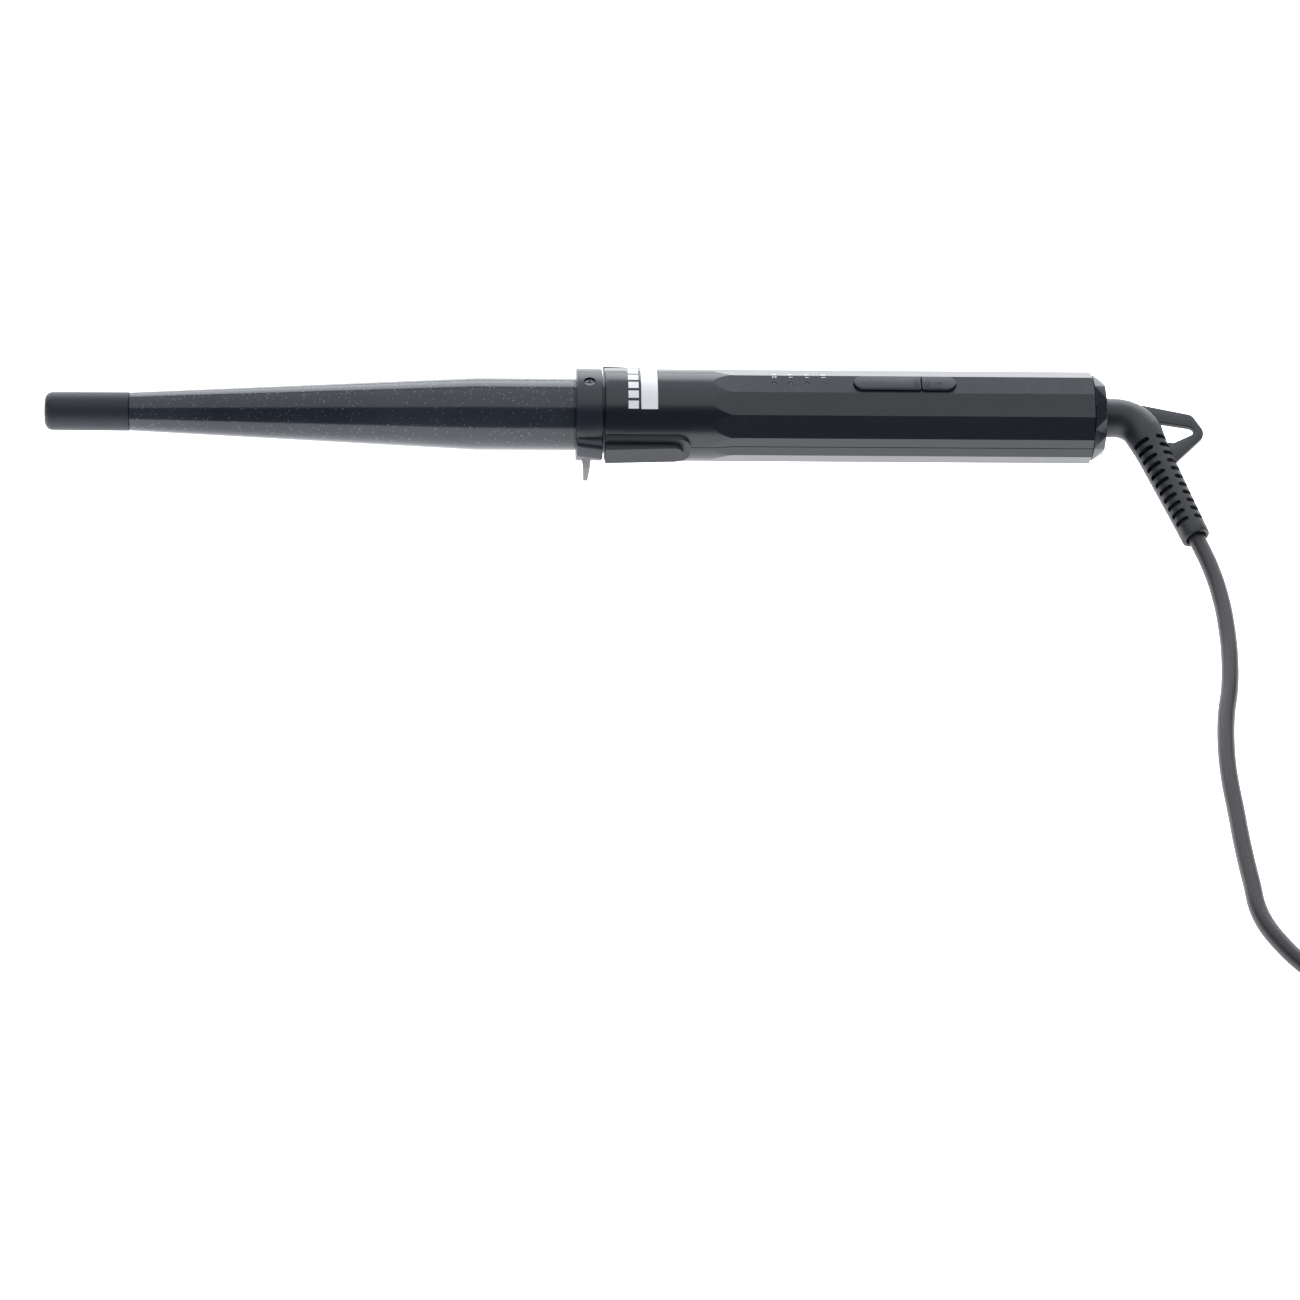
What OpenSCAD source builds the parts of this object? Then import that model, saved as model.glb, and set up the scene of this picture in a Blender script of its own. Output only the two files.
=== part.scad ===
// Conical curling wand with a fold-out table stand and a swivel cord.
// The wand is modelled along X with its tip towards -X and its keys towards +Z, and is
// then leant on its stand, so that Z = 0 is the table under the stand and the handle's heel.

/* [Barrel] */
// Diameter of the barrel at its base
barrel_d = 25; // [24:0.1:25]
// Diameter of the barrel where it meets the tip
barrel_tip_d = 13.3; // [13:0.1:14]
// Length of the straight stretch ahead of the collar
barrel_straight = 34.3; // [30:0.5:40]
// Length of the tapered stretch
barrel_taper = 117.8; // [105:0.1:125]
// Thickness of the barrel's wall
barrel_wall = 1.1; // [0.9:0.1:1.2]
// Length of the heat-proof tip
tip_length = 28.8; // [24:0.1:32]

/* [Collar] */
// Diameter of the collar and of the handle's round front
collar_d = 31.7; // [31.5:0.1:32.2]
// Length of the collar along the wand
collar_length = 8.9; // [8.7:0.1:9.5]
// How far the collar's side lugs stand out from the axis at the handle
lug_reach = 19.7; // [19.4:0.1:20]

/* [Stand] */
// Depth of the stand's foot below the wand's axis
stand_drop = 21.5; // [21:0.1:22]
// Half the width of the stand across its foot
stand_foot = 11.5; // [11:0.1:13]
// Thickness of the stand's strip
stand_strip = 1.3; // [1.2:0.05:1.35]

/* [Handle] */
// Distance across the handle's twelve flats
handle_flats = 30.4; // [30:0.1:30.6]
// Where the handle starts, counted from the middle of the collar
handle_start = 5.3; // [5:0.1:5.5]
// Where the handle ends
handle_end = 172.5; // [171.5:0.1:173]
// Where the flats begin
flats_start = 42; // [41:0.5:45]
// Radius of the hollow inside the shells
hollow_r = 13; // [12.95:0.01:13.1]

/* [Controls] */
// Middle of the key slot
slot_x = 107.6; // [106:0.1:109]
// Length of the key slot
slot_length = 35.4; // [35:0.1:36]
// Width of the key slot
slot_width = 6.4; // [6:0.1:6.8]
// Place of the first lamp
lamp_x = 63; // [62.5:0.1:64]
// Distance from lamp to lamp
lamp_pitch = 5.63; // [5:0.01:6]
// Diameter of a lamp
lamp_d = 1.4; // [1.2:0.1:1.6]

/* [Cord guard] */
// Angle that the guard turns the cord through
bend = 71.5; // [67:0.5:74]
// How far the guard's side lies below the horizontal
droop = 9.5; // [7:0.5:10]
// Where the guard's middle line turns off the wand's axis
bend_x = 188.5; // [188:0.1:189]
// Length of the guard after the turn
guard_length = 53; // [52:0.5:54]
// Diameter of the guard's neck
neck_d = 13.5; // [13.4:0.02:13.5]
// Number of rows of slots in the guard
guard_rows = 11; // [8:1:11]

/* [Cord and plug] */
// Diameter of the cord
cord_d = 5.8; // [5.6:0.1:6]
// Diameter of a plug pin
pin_d = 4; // [4:0.1:4]
// Distance between the plug's pins
pin_gap = 18.6; // [18:0.1:19]

/* [Hidden] */
$fn = 48;
eps = 0.01;

// stations along the wand
collar_front = -collar_length / 2;
collar_back = collar_length / 2;
cone_end = collar_front - barrel_straight;
tip_seam = cone_end - barrel_taper;
tip_end = tip_seam - tip_length;
cap_start = handle_end + 0.4;
cap_end = cap_start + 4.2;

// main radii
base_r = barrel_d / 2;
nose_r = barrel_tip_d / 2;
collar_r = collar_d / 2;
flat_r = handle_flats / 2;
function cone_r(x) = nose_r + (base_r - nose_r) * (x - tip_seam) / barrel_taper;

// the stand's hinge, and how the wand leans on the stand's foot and the handle's heel
pivot_x = -1.9;
foot_x = -0.15;
tilt = atan((stand_drop - flat_r) / (handle_end - foot_x));
lift = stand_drop * cos(tilt) + foot_x * sin(tilt);
middle_x = 13;

// the keys
key_gap = 0.3;
key_top = flat_r + 1.1;
key_split = slot_x + 5.65;

// the circuit board
board_z = 6.4;
board_top = 8;

// the swivel
neck_r = neck_d / 2;
bend_r = 10.5;
bend_reach = bend_r * tan(bend / 2);
guard_profile = [[bend_reach - 0.4, 6.56], [9.9, 6.35], [16.6, 5.85], [31.2, 5.4], [45.8, 5],
    [guard_length, 4.9]];

// the cord, from the guard to the coil, and from the coil to the plug
cord_r = cord_d / 2;
guard_way = [cos(bend), -sin(bend) * cos(droop), -sin(bend) * sin(droop)];
guard_end = [bend_x, 0, 0] + guard_length * guard_way;
cord_start = [
    guard_end[0] * cos(tilt) + guard_end[2] * sin(tilt) - middle_x,
    guard_end[1],
    -guard_end[0] * sin(tilt) + guard_end[2] * cos(tilt) + lift
];
cord_route = [
    [195.5, -62.5, 4.3], [197.5, -76, 3.4], [198, -89, 3], [197.5, -102.5, 2.9],
    [196, -115.5, 2.9], [193.5, -128, 2.9], [192, -141, 2.9], [191.5, -154, 2.9],
    [192, -169, 2.9], [192.5, -184, 2.9], [193.5, -198.5, 2.9], [195, -213, 2.9],
    [201, -226, 2.9], [209.5, -237.5, 2.9], [216.5, -248.5, 2.9], [219.6, -262, 2.9]
];
tail_route = [
    [297.5, -262, 13.7], [297.5, -252, 14.3], [297.5, -242, 14.1], [297.5, -232, 12.6],
    [297.5, -222, 9.9], [297.5, -212, 7.7], [297.5, -202, 6.9]
];
coil_at = [260, -262, 0];
coil_in = 25.9;
coil_out = 43.3;
plug_at = [297.5, -202, 6.9];

// ---- helpers ----

// Leans the finished wand on its stand.
module leant() {
    translate([-middle_x, 0, lift]) rotate([0, tilt, 0]) children();
}

// Lays a part that was built up Z along the wand, starting at station x.
module along(x) {
    translate([x, 0, 0]) rotate([0, 90, 0]) children();
}

// A turned part from points of [station, radius].
module turned(points) {
    rotate([0, 90, 0]) rotate_extrude($fn = 96) polygon([for (p = points) [p[1], p[0]]]);
}

// A flat shape drawn in X and Z, made thick across the wand.
module across(y, thick) {
    translate([0, y + thick, 0]) rotate([90, 0, 0]) linear_extrude(thick) children();
}

// A flat shape drawn in Y and Z, made long along the wand.
module lengthwise(x, long) {
    translate([x, 0, 0]) rotate([90, 0, 90]) linear_extrude(long) children();
}

// Both sides of the wand.
module both_sides() {
    children();
    mirror([0, 1, 0]) children();
}

// A bar with round ends, from x0 to x1.
module stadium(x0, x1, r) {
    translate([x0 + r, -r]) square([x1 - x0 - 2 * r, 2 * r]);
    translate([x0 + r, 0]) circle(r);
    translate([x1 - r, 0]) circle(r);
}

// The outline of a raised side pad in Y and Z, round at its outer corners.
module side_section(half, out, r = 2) {
    translate([13, -half]) square([out - 13 - r, 2 * half]);
    translate([out - r, r - half]) square([r, 2 * (half - r)]);
    translate([out - r, half - r]) circle(r);
    translate([out - r, r - half]) circle(r);
}

// A cord of ten sides swept through its route's points.
function unit(v) = v / norm(v);
function heading(route, i) =
    unit(route[min(i + 1, len(route) - 1)] - route[max(i - 1, 0)]);
function ring(route, i, r, way) =
    let (side = unit(cross(way, [0, 0, 1])), above = cross(side, way))
    [for (k = [0:9]) route[i] + r * (cos(36 * k) * side + sin(36 * k) * above)];
module swept(route, r, first) {
    count = len(route);
    points = [for (i = [0:count - 1])
        each ring(route, i, r, i == 0 ? first : heading(route, i))];
    sides = [for (i = [0:count - 2], k = [0:9])
        [10 * i + k, 10 * i + (k + 1) % 10, 10 * (i + 1) + (k + 1) % 10, 10 * (i + 1) + k]];
    polyhedron(points, concat(sides, [[for (k = [9:-1:0]) k],
        [for (k = [0:9]) 10 * (count - 1) + k]]), convexity = 10);
}

// ---- barrel and heater ----

module tip_cap() {
    round_r = 2.6;
    color([0.16, 0.16, 0.19]) turned(concat(
        [[tip_end, 0]],
        [for (a = [0:15:90]) [tip_end + round_r * (1 - cos(a)),
            nose_r - 0.1 - round_r + round_r * sin(a)]],
        [[tip_seam - 0.1, nose_r], [tip_seam - 0.1, 5.2], [tip_seam + 8, 5.2],
            [tip_seam + 8, 1.53], [tip_seam - 4, 1.53], [tip_seam - 4, 0]]));
}

module barrel() {
    inner = base_r - barrel_wall;
    color([0.1, 0.12, 0.17]) difference() {
        turned([[tip_seam, nose_r], [cone_end, base_r], [collar_front - 0.5, base_r],
            [collar_front - 0.5, base_r - 0.3], [3, base_r - 0.3], [3, inner],
            [cone_end, inner], [tip_seam + 10, cone_r(tip_seam + 10) - barrel_wall],
            [tip_seam + 10, 5.25], [tip_seam, 5.25]]);
        cylinder(h = 40, r = 1, center = true);
    }
}

module heater_core() {
    start = tip_seam + 11.5;
    color([0.9, 0.87, 0.8]) difference() {
        turned([[start, cone_r(start) - 2.6], [cone_end, base_r - 2.6],
            [-20, base_r - 2.6], [-20, 1.6], [start, 1.6]]);
        for (i = [0:14]) winding_ring(i, 0.5);
    }
}

// One turn of the heating wire, in its groove.
module winding_ring(i, r) {
    x = tip_seam + 17.6 + 7.6 * i;
    along(x) rotate_extrude($fn = 64) translate([cone_r(min(x, cone_end)) - 2.5, 0])
        circle(r, $fn = 20);
}

module heater_winding() {
    color([0.55, 0.5, 0.45]) for (i = [0:14]) winding_ring(i, 0.35);
}

module mica_sleeve() {
    start = tip_seam + 12;
    color([0.75, 0.68, 0.5]) turned([[start, cone_r(start) - 1.25], [cone_end, base_r - 1.25],
        [-19, base_r - 1.25], [-19, base_r - 1.65], [cone_end, base_r - 1.65],
        [start, cone_r(start) - 1.65]]);
}

module core_rod() {
    color([0.7, 0.7, 0.72]) along(tip_seam - 3.5) cylinder(h = 148, r = 1.5);
}

module core_nut() {
    color([0.7, 0.7, 0.72]) along(-19.9) difference() {
        cylinder(h = 2.4, r = 3.1, $fn = 6);
        translate([0, 0, -1]) cylinder(h = 5, r = 1.52);
    }
}

module thermistor() {
    color([0.65, 0.25, 0.12]) {
        translate([-17.2, 0, 8.6]) sphere(1.1, $fn = 24);
        along(-17.2) translate([-8.6, 0, 0]) cylinder(h = 7, r = 0.4);
    }
}

module thermal_fuse() {
    color([0.8, 0.8, 0.78]) translate([0, 0, -6]) {
        along(-17) cylinder(h = 10, r = 1.7);
        along(-19.9) cylinder(h = 16, r = 0.4);
    }
}

module heater_wires() {
    color([0.85, 0.85, 0.82]) for (y = [-4.5, 4.5])
        translate([0, y, 5.5]) along(-19.9) cylinder(h = 82, r = 0.8);
}

// ---- collar and stand ----

module collar() {
    chamfer = 0.4;
    color([0.12, 0.12, 0.15]) difference() {
        union() {
            turned([[collar_front, 9], [collar_front, collar_r - chamfer],
                [collar_front + chamfer, collar_r], [collar_back - chamfer, collar_r],
                [collar_back, collar_r - chamfer], [collar_back, hollow_r - 0.1],
                [24.5, hollow_r - 0.1], [24.5, 9]]);
            both_sides() lug();
        }
        along(collar_front - 1) cylinder(h = 4.1 - collar_front, r = base_r - 0.2);
        cylinder(h = 60, r = 1.05, center = true);
        both_ways() translate([0, 0, 13.85]) cylinder(h = 4, r = 1.95);
        both_sides() stand_slot();
        translate([pivot_x, 0, 0]) rotate([90, 0, 0]) {
            translate([0, 0, 14.4]) cylinder(h = 3.7, r = 1.03);
            translate([0, 0, -18.1]) cylinder(h = 3.7, r = 1.03);
        }
    }
}

// The lug on one side of the collar that holds the stand.
module lug() {
    slope = 1.5;
    difference() {
        lengthwise(collar_front, collar_length) side_section(3.9, lug_reach);
        linear_extrude(20, center = true) polygon([
            [collar_front - 1, lug_reach - slope * (1 + 1 / collar_length)],
            [collar_back + 1, lug_reach + slope / collar_length],
            [collar_back + 1, lug_reach + 5], [collar_front - 1, lug_reach + 5]]);
        along(-20) cylinder(h = 40, r = 9);
    }
}

// The room that the stand's leg needs inside a lug.
module stand_slot() {
    across(collar_r, 1.6) {
        translate([pivot_x, 0]) circle(2.6);
        translate([-12, -12]) square([12.55, 12]);
    }
}

module stand() {
    inner = collar_r + 0.15;
    outer = inner + stand_strip;
    color([0.62, 0.62, 0.64]) difference() {
        intersection() {
            lengthwise(-20, 40) difference() {
                polygon([[-outer, 3], [-outer, -8], [-stand_foot, -stand_drop],
                    [stand_foot, -stand_drop], [outer, -8], [outer, 3]]);
                polygon([[-inner, 4], [-inner, -8.2], [1 - stand_foot, 1.4 - stand_drop],
                    [stand_foot - 1, 1.4 - stand_drop], [inner, -8.2], [inner, 4]]);
            }
            across(-20, 40) {
                translate([pivot_x, 0]) circle(2.3);
                polygon([[-3.6, 0], [0.4, 0], [0.5, -9], [foot_x, -22], [foot_x - 1.4, -22],
                    [-1.9, -9]]);
            }
        }
        translate([pivot_x, 0, 0]) rotate([90, 0, 0]) cylinder(h = 60, r = 1.06, center = true);
    }
}

module stand_pins() {
    color([0.7, 0.7, 0.72]) translate([pivot_x, 0, 0]) rotate([90, 0, 0]) {
        translate([0, 0, 14.5]) cylinder(h = 3.5, r = 1);
        translate([0, 0, -18]) cylinder(h = 3.5, r = 1);
    }
}

module collar_screws() {
    color([0.35, 0.35, 0.37]) both_ways() difference() {
        union() {
            translate([0, 0, 13.9]) cylinder(h = 1.2, r = 1.75);
            translate([0, 0, 11]) cylinder(h = 3, r = 0.95);
        }
        translate([0, 0, 15.1]) cube([2.3, 0.5, 1.2], center = true);
        translate([0, 0, 15.1]) cube([0.5, 2.3, 1.2], center = true);
    }
}

// The top and the bottom of the wand.
module both_ways() {
    children();
    mirror([0, 0, 1]) children();
}

// ---- handle ----

module grip_pad() {
    color([0.1, 0.1, 0.13]) difference() {
        union() {
            across(13, 4.2) {
                translate([handle_start, -5.1]) square([25.1, 10.2]);
                translate([handle_start + 25, -1.1]) square([4.1, 2.2]);
                translate([handle_start + 25.1, 1.1]) circle(4);
                translate([handle_start + 25.1, -1.1]) circle(4);
            }
            intersection() {
                across(13, 8) {
                    translate([handle_start, -3.2]) square([23.5, 6.4]);
                    translate([handle_start + 23.5, 0]) circle(3.2);
                }
                lengthwise(handle_start, 40) side_section(3.2, 20.4);
                linear_extrude(20, center = true) polygon([[handle_start - 1, 13],
                    [handle_start - 1, 20.45], [handle_start + 28, 19.4],
                    [handle_start + 28, 13]]);
            }
        }
        along(0) cylinder(h = 50, r = collar_r + 0.05);
    }
}

module grip_pad_far() {
    grip_pad();
}

module grip_pad_near() {
    mirror([0, 1, 0]) grip_pad();
}

// The handle's outside: a round front that runs out into twelve flats.
module handle_outside() {
    along(handle_start) cylinder(h = flats_start - handle_start, r = collar_r, $fn = 96);
    along(flats_start) cylinder(h = 7.5, r1 = collar_r, r2 = flat_r - 0.1, $fn = 96);
    lengthwise(flats_start, handle_end - flats_start) polygon([for (k = [0:11])
        flat_r / cos(15) * [cos(30 * k + 15), sin(30 * k + 15)]]);
}

// One half of the hollow handle, its parting face at the height of the axis.
module handle_half(sign) {
    difference() {
        handle_outside();
        along(0) cylinder(h = 200, r = hollow_r);
        translate([-10, -30, sign > 0 ? -59.95 : -0.05]) cube([220, 60, 60]);
    }
}

screw_x = [54, 141];

module handle_upper() {
    color([0.1, 0.1, 0.14]) difference() {
        union() {
            handle_half(1);
            intersection() {
                union() {
                    for (x = screw_x) translate([x, 0, 0.05]) cylinder(h = 14, r = 3);
                    for (x = [60.5, 130], y = [-6, 6])
                        translate([x, y, board_top + 0.05]) cylinder(h = 6, r = 1.4);
                }
                along(0) cylinder(h = 200, r = hollow_r + 1);
            }
        }
        for (x = screw_x) translate([x, 0, -1]) cylinder(h = 10.5, r = 1.45);
        for (i = [0:3]) translate([lamp_x + i * lamp_pitch, 0, 10])
            cylinder(h = 8, r = lamp_d / 2 + 0.05);
        translate([slot_x, 0, 10]) linear_extrude(8)
            stadium(-slot_length / 2, slot_length / 2, slot_width / 2);
        translate([slot_x - 20, -5.6, 9]) cube([40, 11.2, 4.3]);
    }
}

module handle_lower() {
    color([0.1, 0.1, 0.14]) difference() {
        union() {
            handle_half(-1);
            intersection() {
                for (x = screw_x) translate([x, 0, -14.5]) cylinder(h = 14.4, r = 3.6);
                along(0) cylinder(h = 200, r = hollow_r + 1);
            }
        }
        for (x = screw_x) {
            translate([x, 0, -20]) cylinder(h = 11, r = 2.9);
            translate([x, 0, -20]) cylinder(h = 30, r = 1.6);
        }
    }
}

module handle_screws() {
    color([0.6, 0.6, 0.62]) for (x = screw_x) translate([x, 0, 0]) difference() {
        union() {
            translate([0, 0, -11]) cylinder(h = 1.95, r = 2.7);
            translate([0, 0, -9.5]) cylinder(h = 18, r = 1.4);
        }
        translate([0, 0, -11]) cube([3.2, 0.6, 1.4], center = true);
        translate([0, 0, -11]) cube([0.6, 3.2, 1.4], center = true);
    }
}

// ---- electronics ----

module circuit_board() {
    color([0.1, 0.35, 0.2]) translate([59, -8, board_z]) cube([73, 16, 1.6]);
}

module board_parts() {
    color([0.15, 0.15, 0.15]) {
        translate([66, -2.5, 4.4]) cube([5, 5, 2]);
        translate([84, -5, 1.4]) cube([12, 10, 5]);
        translate([104, 3.4, -1.6]) cylinder(h = 8, r = 3);
        translate([116, -4, 3.4]) cube([7, 6, 3]);
    }
}

module indicator_lamps() {
    color([0.05, 0.05, 0.07]) for (i = [0:3]) translate([lamp_x + i * lamp_pitch, 0, 0]) {
        translate([0, 0, 9]) cylinder(h = flat_r - 9.15, r = lamp_d / 2);
        translate([-1.5, -1, board_top]) cube([3, 2, 1.1]);
    }
}

switch_x = [101.5, 119];

module tact_switches() {
    color([0.2, 0.2, 0.2]) for (x = switch_x) translate([x, 0, board_top]) {
        translate([-3, -3, 0]) cube([6, 6, 2.9]);
        cylinder(h = 3.5, r = 1.7);
    }
}

// A key's outline seen from above, from x0 to x1, round at one end.
module key_outline(x0, x1, r, round_front) {
    translate([round_front ? x0 + r : x0, -r]) square([x1 - x0 - r, 2 * r]);
    translate([round_front ? x0 + r : x1 - r, 0]) circle(r);
}

module power_key() {
    x0 = slot_x - slot_length / 2 + key_gap;
    x1 = key_split - 0.2;
    r = slot_width / 2 - key_gap;
    color([0.09, 0.09, 0.12]) {
        translate([0, 0, 12.1]) linear_extrude(key_top - 12.1) key_outline(x0, x1, r, true);
        translate([x0 - 1, -4.6, 12.1]) cube([x1 - x0 + 1, 9.2, 1]);
        translate([x1 - 1.9, -2.2, key_top - 0.5]) cube([0.9, 4.4, 0.75]);
    }
}

module heat_key() {
    x0 = key_split + 0.2;
    x1 = slot_x + slot_length / 2 - key_gap;
    r = slot_width / 2 - key_gap;
    color([0.09, 0.09, 0.12]) {
        translate([0, 0, 12.1]) linear_extrude(key_top - 12.1) key_outline(x0, x1, r, false);
        translate([x0, -4.6, 12.1]) cube([x1 - x0 + 1, 9.2, 1]);
        translate([x0 + 1, -2.2, key_top - 0.5]) cube([0.9, 4.4, 0.75]);
    }
}

module mains_wires() {
    color([0.3, 0.35, 0.6]) {
        translate([0, 4.5, 5.5]) along(129) cylinder(h = 21.5, r = 0.8);
        translate([0, -4.5, 5.5]) along(129) cylinder(h = 17, r = 0.8);
        translate([146, -4.5, -5.5]) cylinder(h = 11, r = 0.8);
        translate([146, -4.5, 5.5]) sphere(0.8, $fn = 24);
        translate([146, -4.5, -5.5]) sphere(0.8, $fn = 24);
        translate([0, -4.5, -5.5]) along(146) cylinder(h = 4.5, r = 0.8);
    }
}

// ---- swivel ----

module slip_base() {
    color([0.85, 0.83, 0.78]) difference() {
        along(158) cylinder(h = 10.6, r = 8.8);
        along(150) cylinder(h = 30, r = 4);
        both_ways() translate([157, -1.05, 4.1]) cube([6, 2.1, 0.6]);
    }
}

module slip_brushes() {
    color([0.75, 0.6, 0.3]) both_ways() {
        translate([149.6, -1, 4.2]) cube([13.2, 2, 0.4]);
        translate([149.6, -5.4, 4.2]) cube([1.2, 10.8, 0.4]);
    }
}

module swivel_core() {
    color([0.85, 0.83, 0.78]) along(151.2) cylinder(h = 18.2, r = 3.2);
}

module slip_rings() {
    color([0.78, 0.62, 0.3]) for (x = [152, 155]) along(x) difference() {
        cylinder(h = 2, r = 3.9);
        translate([0, 0, -1]) cylinder(h = 4, r = 3.22);
    }
}

module end_cap() {
    outer = [for (k = [0:11]) [cap_start, 15.15 * cos(30 * k), 15.15 * sin(30 * k)]];
    inner = [for (k = [0:11]) [cap_end, 12.5 * cos(30 * k + 15), 12.5 * sin(30 * k + 15)]];
    faces = concat(
        [for (k = [0:11]) [k, 12 + k, (k + 1) % 12]],
        [for (k = [0:11]) [12 + k, 12 + (k + 1) % 12, (k + 1) % 12]],
        [[for (k = [0:11]) k]], [[for (k = [11:-1:0]) 12 + k]]);
    color([0.11, 0.11, 0.14]) difference() {
        union() {
            polyhedron(concat(outer, inner), faces);
            along(163.5) cylinder(h = cap_start - 163.5 + 0.5, r = hollow_r - 0.15);
        }
        along(163) cylinder(h = 9, r = 8.9);
        along(163) cylinder(h = 20, r = neck_r + 0.08);
    }
}

// Turns a part drawn with its bend towards +Y into the plane that the guard lies in.
module bend_plane() {
    rotate([180 + droop, 0, 0]) children();
}

module guard_solid() {
    bend_plane() {
        turned([[169.4, 0], [169.4, 8.4], [171.6, 8.4], [171.6, neck_r],
            [bend_x - bend_reach - 2, neck_r], [bend_x - bend_reach + 0.4, 6.56],
            [bend_x - bend_reach + 0.4, 0]]);
        translate([bend_x - bend_reach, bend_r, 0]) rotate([0, 0, -90])
            rotate_extrude(angle = bend, $fn = 96) translate([bend_r, 0]) circle(6.6);
        translate([bend_x, 0, 0]) rotate([0, 0, bend])
            turned(concat([[bend_reach - 0.4, 0]], guard_profile, [[guard_length, 0]]));
    }
}

module cord_guard() {
    pitch = 34 / (guard_rows - 1);
    color([0.1, 0.1, 0.13]) difference() {
        guard_solid();
        bend_plane() translate([bend_x, 0, 0]) rotate([0, 0, bend]) difference() {
            for (i = [0:guard_rows - 1]) along(12.15 + pitch * i) difference() {
                cylinder(h = 1.7, r = 8);
                translate([0, 0, -1]) cylinder(h = 4, r = 3.6);
            }
            translate([30, 0, 0]) cube([60, 2.8, 20], center = true);
            translate([30, 0, 0]) cube([60, 20, 2.8], center = true);
        }
    }
}

module hanging_loop() {
    color([0.12, 0.12, 0.14]) difference() {
        bend_plane() linear_extrude(2, center = true) difference() {
            hull() {
                translate([191, -2.3]) circle(2.6, $fn = 32);
                translate([206, 1.7]) circle(3, $fn = 32);
                translate([207.3, 6.5]) circle(4.1, $fn = 32);
                translate([199.5, 17.3]) circle(2.2, $fn = 32);
                translate([194, 14.9]) circle(1, $fn = 32);
            }
            hull() {
                translate([195.6, 2.8]) circle(0.6, $fn = 32);
                translate([206, 6]) circle(1.9, $fn = 32);
                translate([200.6, 10.1]) circle(0.8, $fn = 32);
                translate([196, 9.6]) circle(0.8, $fn = 32);
            }
        }
        guard_solid();
    }
}

// ---- cord and plug ----

module cord() {
    color([0.2, 0.19, 0.21]) swept(concat([cord_start], cord_route), cord_r,
        unit(cord_route[0] - cord_start));
}

module cord_tail() {
    color([0.2, 0.19, 0.21]) swept(tail_route, cord_r, [0, 1, 0]);
}

module cord_coil() {
    color([0.2, 0.19, 0.21]) translate(coil_at) rotate_extrude($fn = 96) polygon([
        [coil_in, 0], [coil_out, 0], [coil_out, 11.6], [40.4, 16.6], [34.6, 16.6],
        [31, 11.6], [coil_in, 11.6]]);
}

module cord_tie() {
    color([0.1, 0.1, 0.1]) translate(coil_at) rotate([0, 0, 120]) difference() {
        translate([24.9, -4, 0]) cube([19.4, 8, 12.6]);
        translate([25.9, -5, 1]) cube([17.4, 10, 10.6]);
    }
}

module plug_body() {
    color([0.12, 0.12, 0.14]) translate(plug_at) {
        rotate([-90, 0, 0]) cylinder(h = 12, r1 = 4, r2 = 5.6);
        translate([0, 12, 0]) intersection() {
            translate([-12.8, 0, -6.8]) cube([25.6, 35, 13.6]);
            translate([0, 0, -10]) linear_extrude(20) polygon([[-7, 0], [7, 0], [12.8, 12],
                [12.8, 26], [11, 35], [-11, 35], [-12.8, 26], [-12.8, 12]]);
            rotate([-90, 0, 0]) linear_extrude(40) {
                square([14, 13.6], center = true);
                translate([-7, 0]) circle(6.8);
                translate([7, 0]) circle(6.8);
            }
        }
    }
}

module plug_pins() {
    color([0.8, 0.8, 0.8]) for (side = [-0.5, 0.5])
        translate(plug_at + [side * pin_gap, 47, 0]) rotate([-90, 0, 0])
            cylinder(h = 19, r = pin_d / 2);
}

leant() tip_cap();
leant() barrel();
leant() heater_core();
leant() heater_winding();
leant() mica_sleeve();
leant() core_rod();
leant() core_nut();
leant() thermistor();
leant() thermal_fuse();
leant() heater_wires();
leant() collar();
leant() collar_screws();
leant() stand();
leant() stand_pins();
leant() grip_pad_near();
leant() grip_pad_far();
leant() handle_upper();
leant() handle_lower();
leant() handle_screws();
leant() circuit_board();
leant() board_parts();
leant() indicator_lamps();
leant() tact_switches();
leant() power_key();
leant() heat_key();
leant() mains_wires();
leant() slip_base();
leant() slip_brushes();
leant() swivel_core();
leant() slip_rings();
leant() end_cap();
leant() cord_guard();
leant() hanging_loop();
cord();
cord_tail();
cord_coil();
cord_tie();
plug_body();
plug_pins();
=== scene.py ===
"""Looks of a conical curling wand: its outer pieces, its finishes, the cord and the stage."""

import math

import bmesh
import bpy
from bpy.props import FloatProperty, FloatVectorProperty, IntProperty, PointerProperty
from bpy.types import Operator, Panel, PropertyGroup
from mathutils import Matrix, Vector


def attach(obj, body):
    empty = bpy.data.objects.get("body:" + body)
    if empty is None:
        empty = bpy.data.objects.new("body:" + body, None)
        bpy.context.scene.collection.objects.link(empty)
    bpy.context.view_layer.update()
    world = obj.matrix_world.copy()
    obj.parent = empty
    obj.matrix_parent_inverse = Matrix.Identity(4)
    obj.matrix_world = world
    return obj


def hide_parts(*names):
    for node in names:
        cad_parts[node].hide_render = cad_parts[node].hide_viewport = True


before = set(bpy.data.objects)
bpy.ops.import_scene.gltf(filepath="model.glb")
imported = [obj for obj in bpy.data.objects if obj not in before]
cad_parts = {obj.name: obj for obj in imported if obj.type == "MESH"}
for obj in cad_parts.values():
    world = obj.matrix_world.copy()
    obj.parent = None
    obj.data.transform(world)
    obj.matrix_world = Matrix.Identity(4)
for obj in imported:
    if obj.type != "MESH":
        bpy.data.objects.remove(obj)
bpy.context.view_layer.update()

bl_info = {
    "name": "Curling wand",
    "version": (1, 0, 0),
    "blender": (4, 5, 0),
    "location": "View3D > Sidebar > Curling wand",
    "description": "Builds the looks of a conical curling wand around its packed parts",
    "category": "Add Mesh",
}

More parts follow.
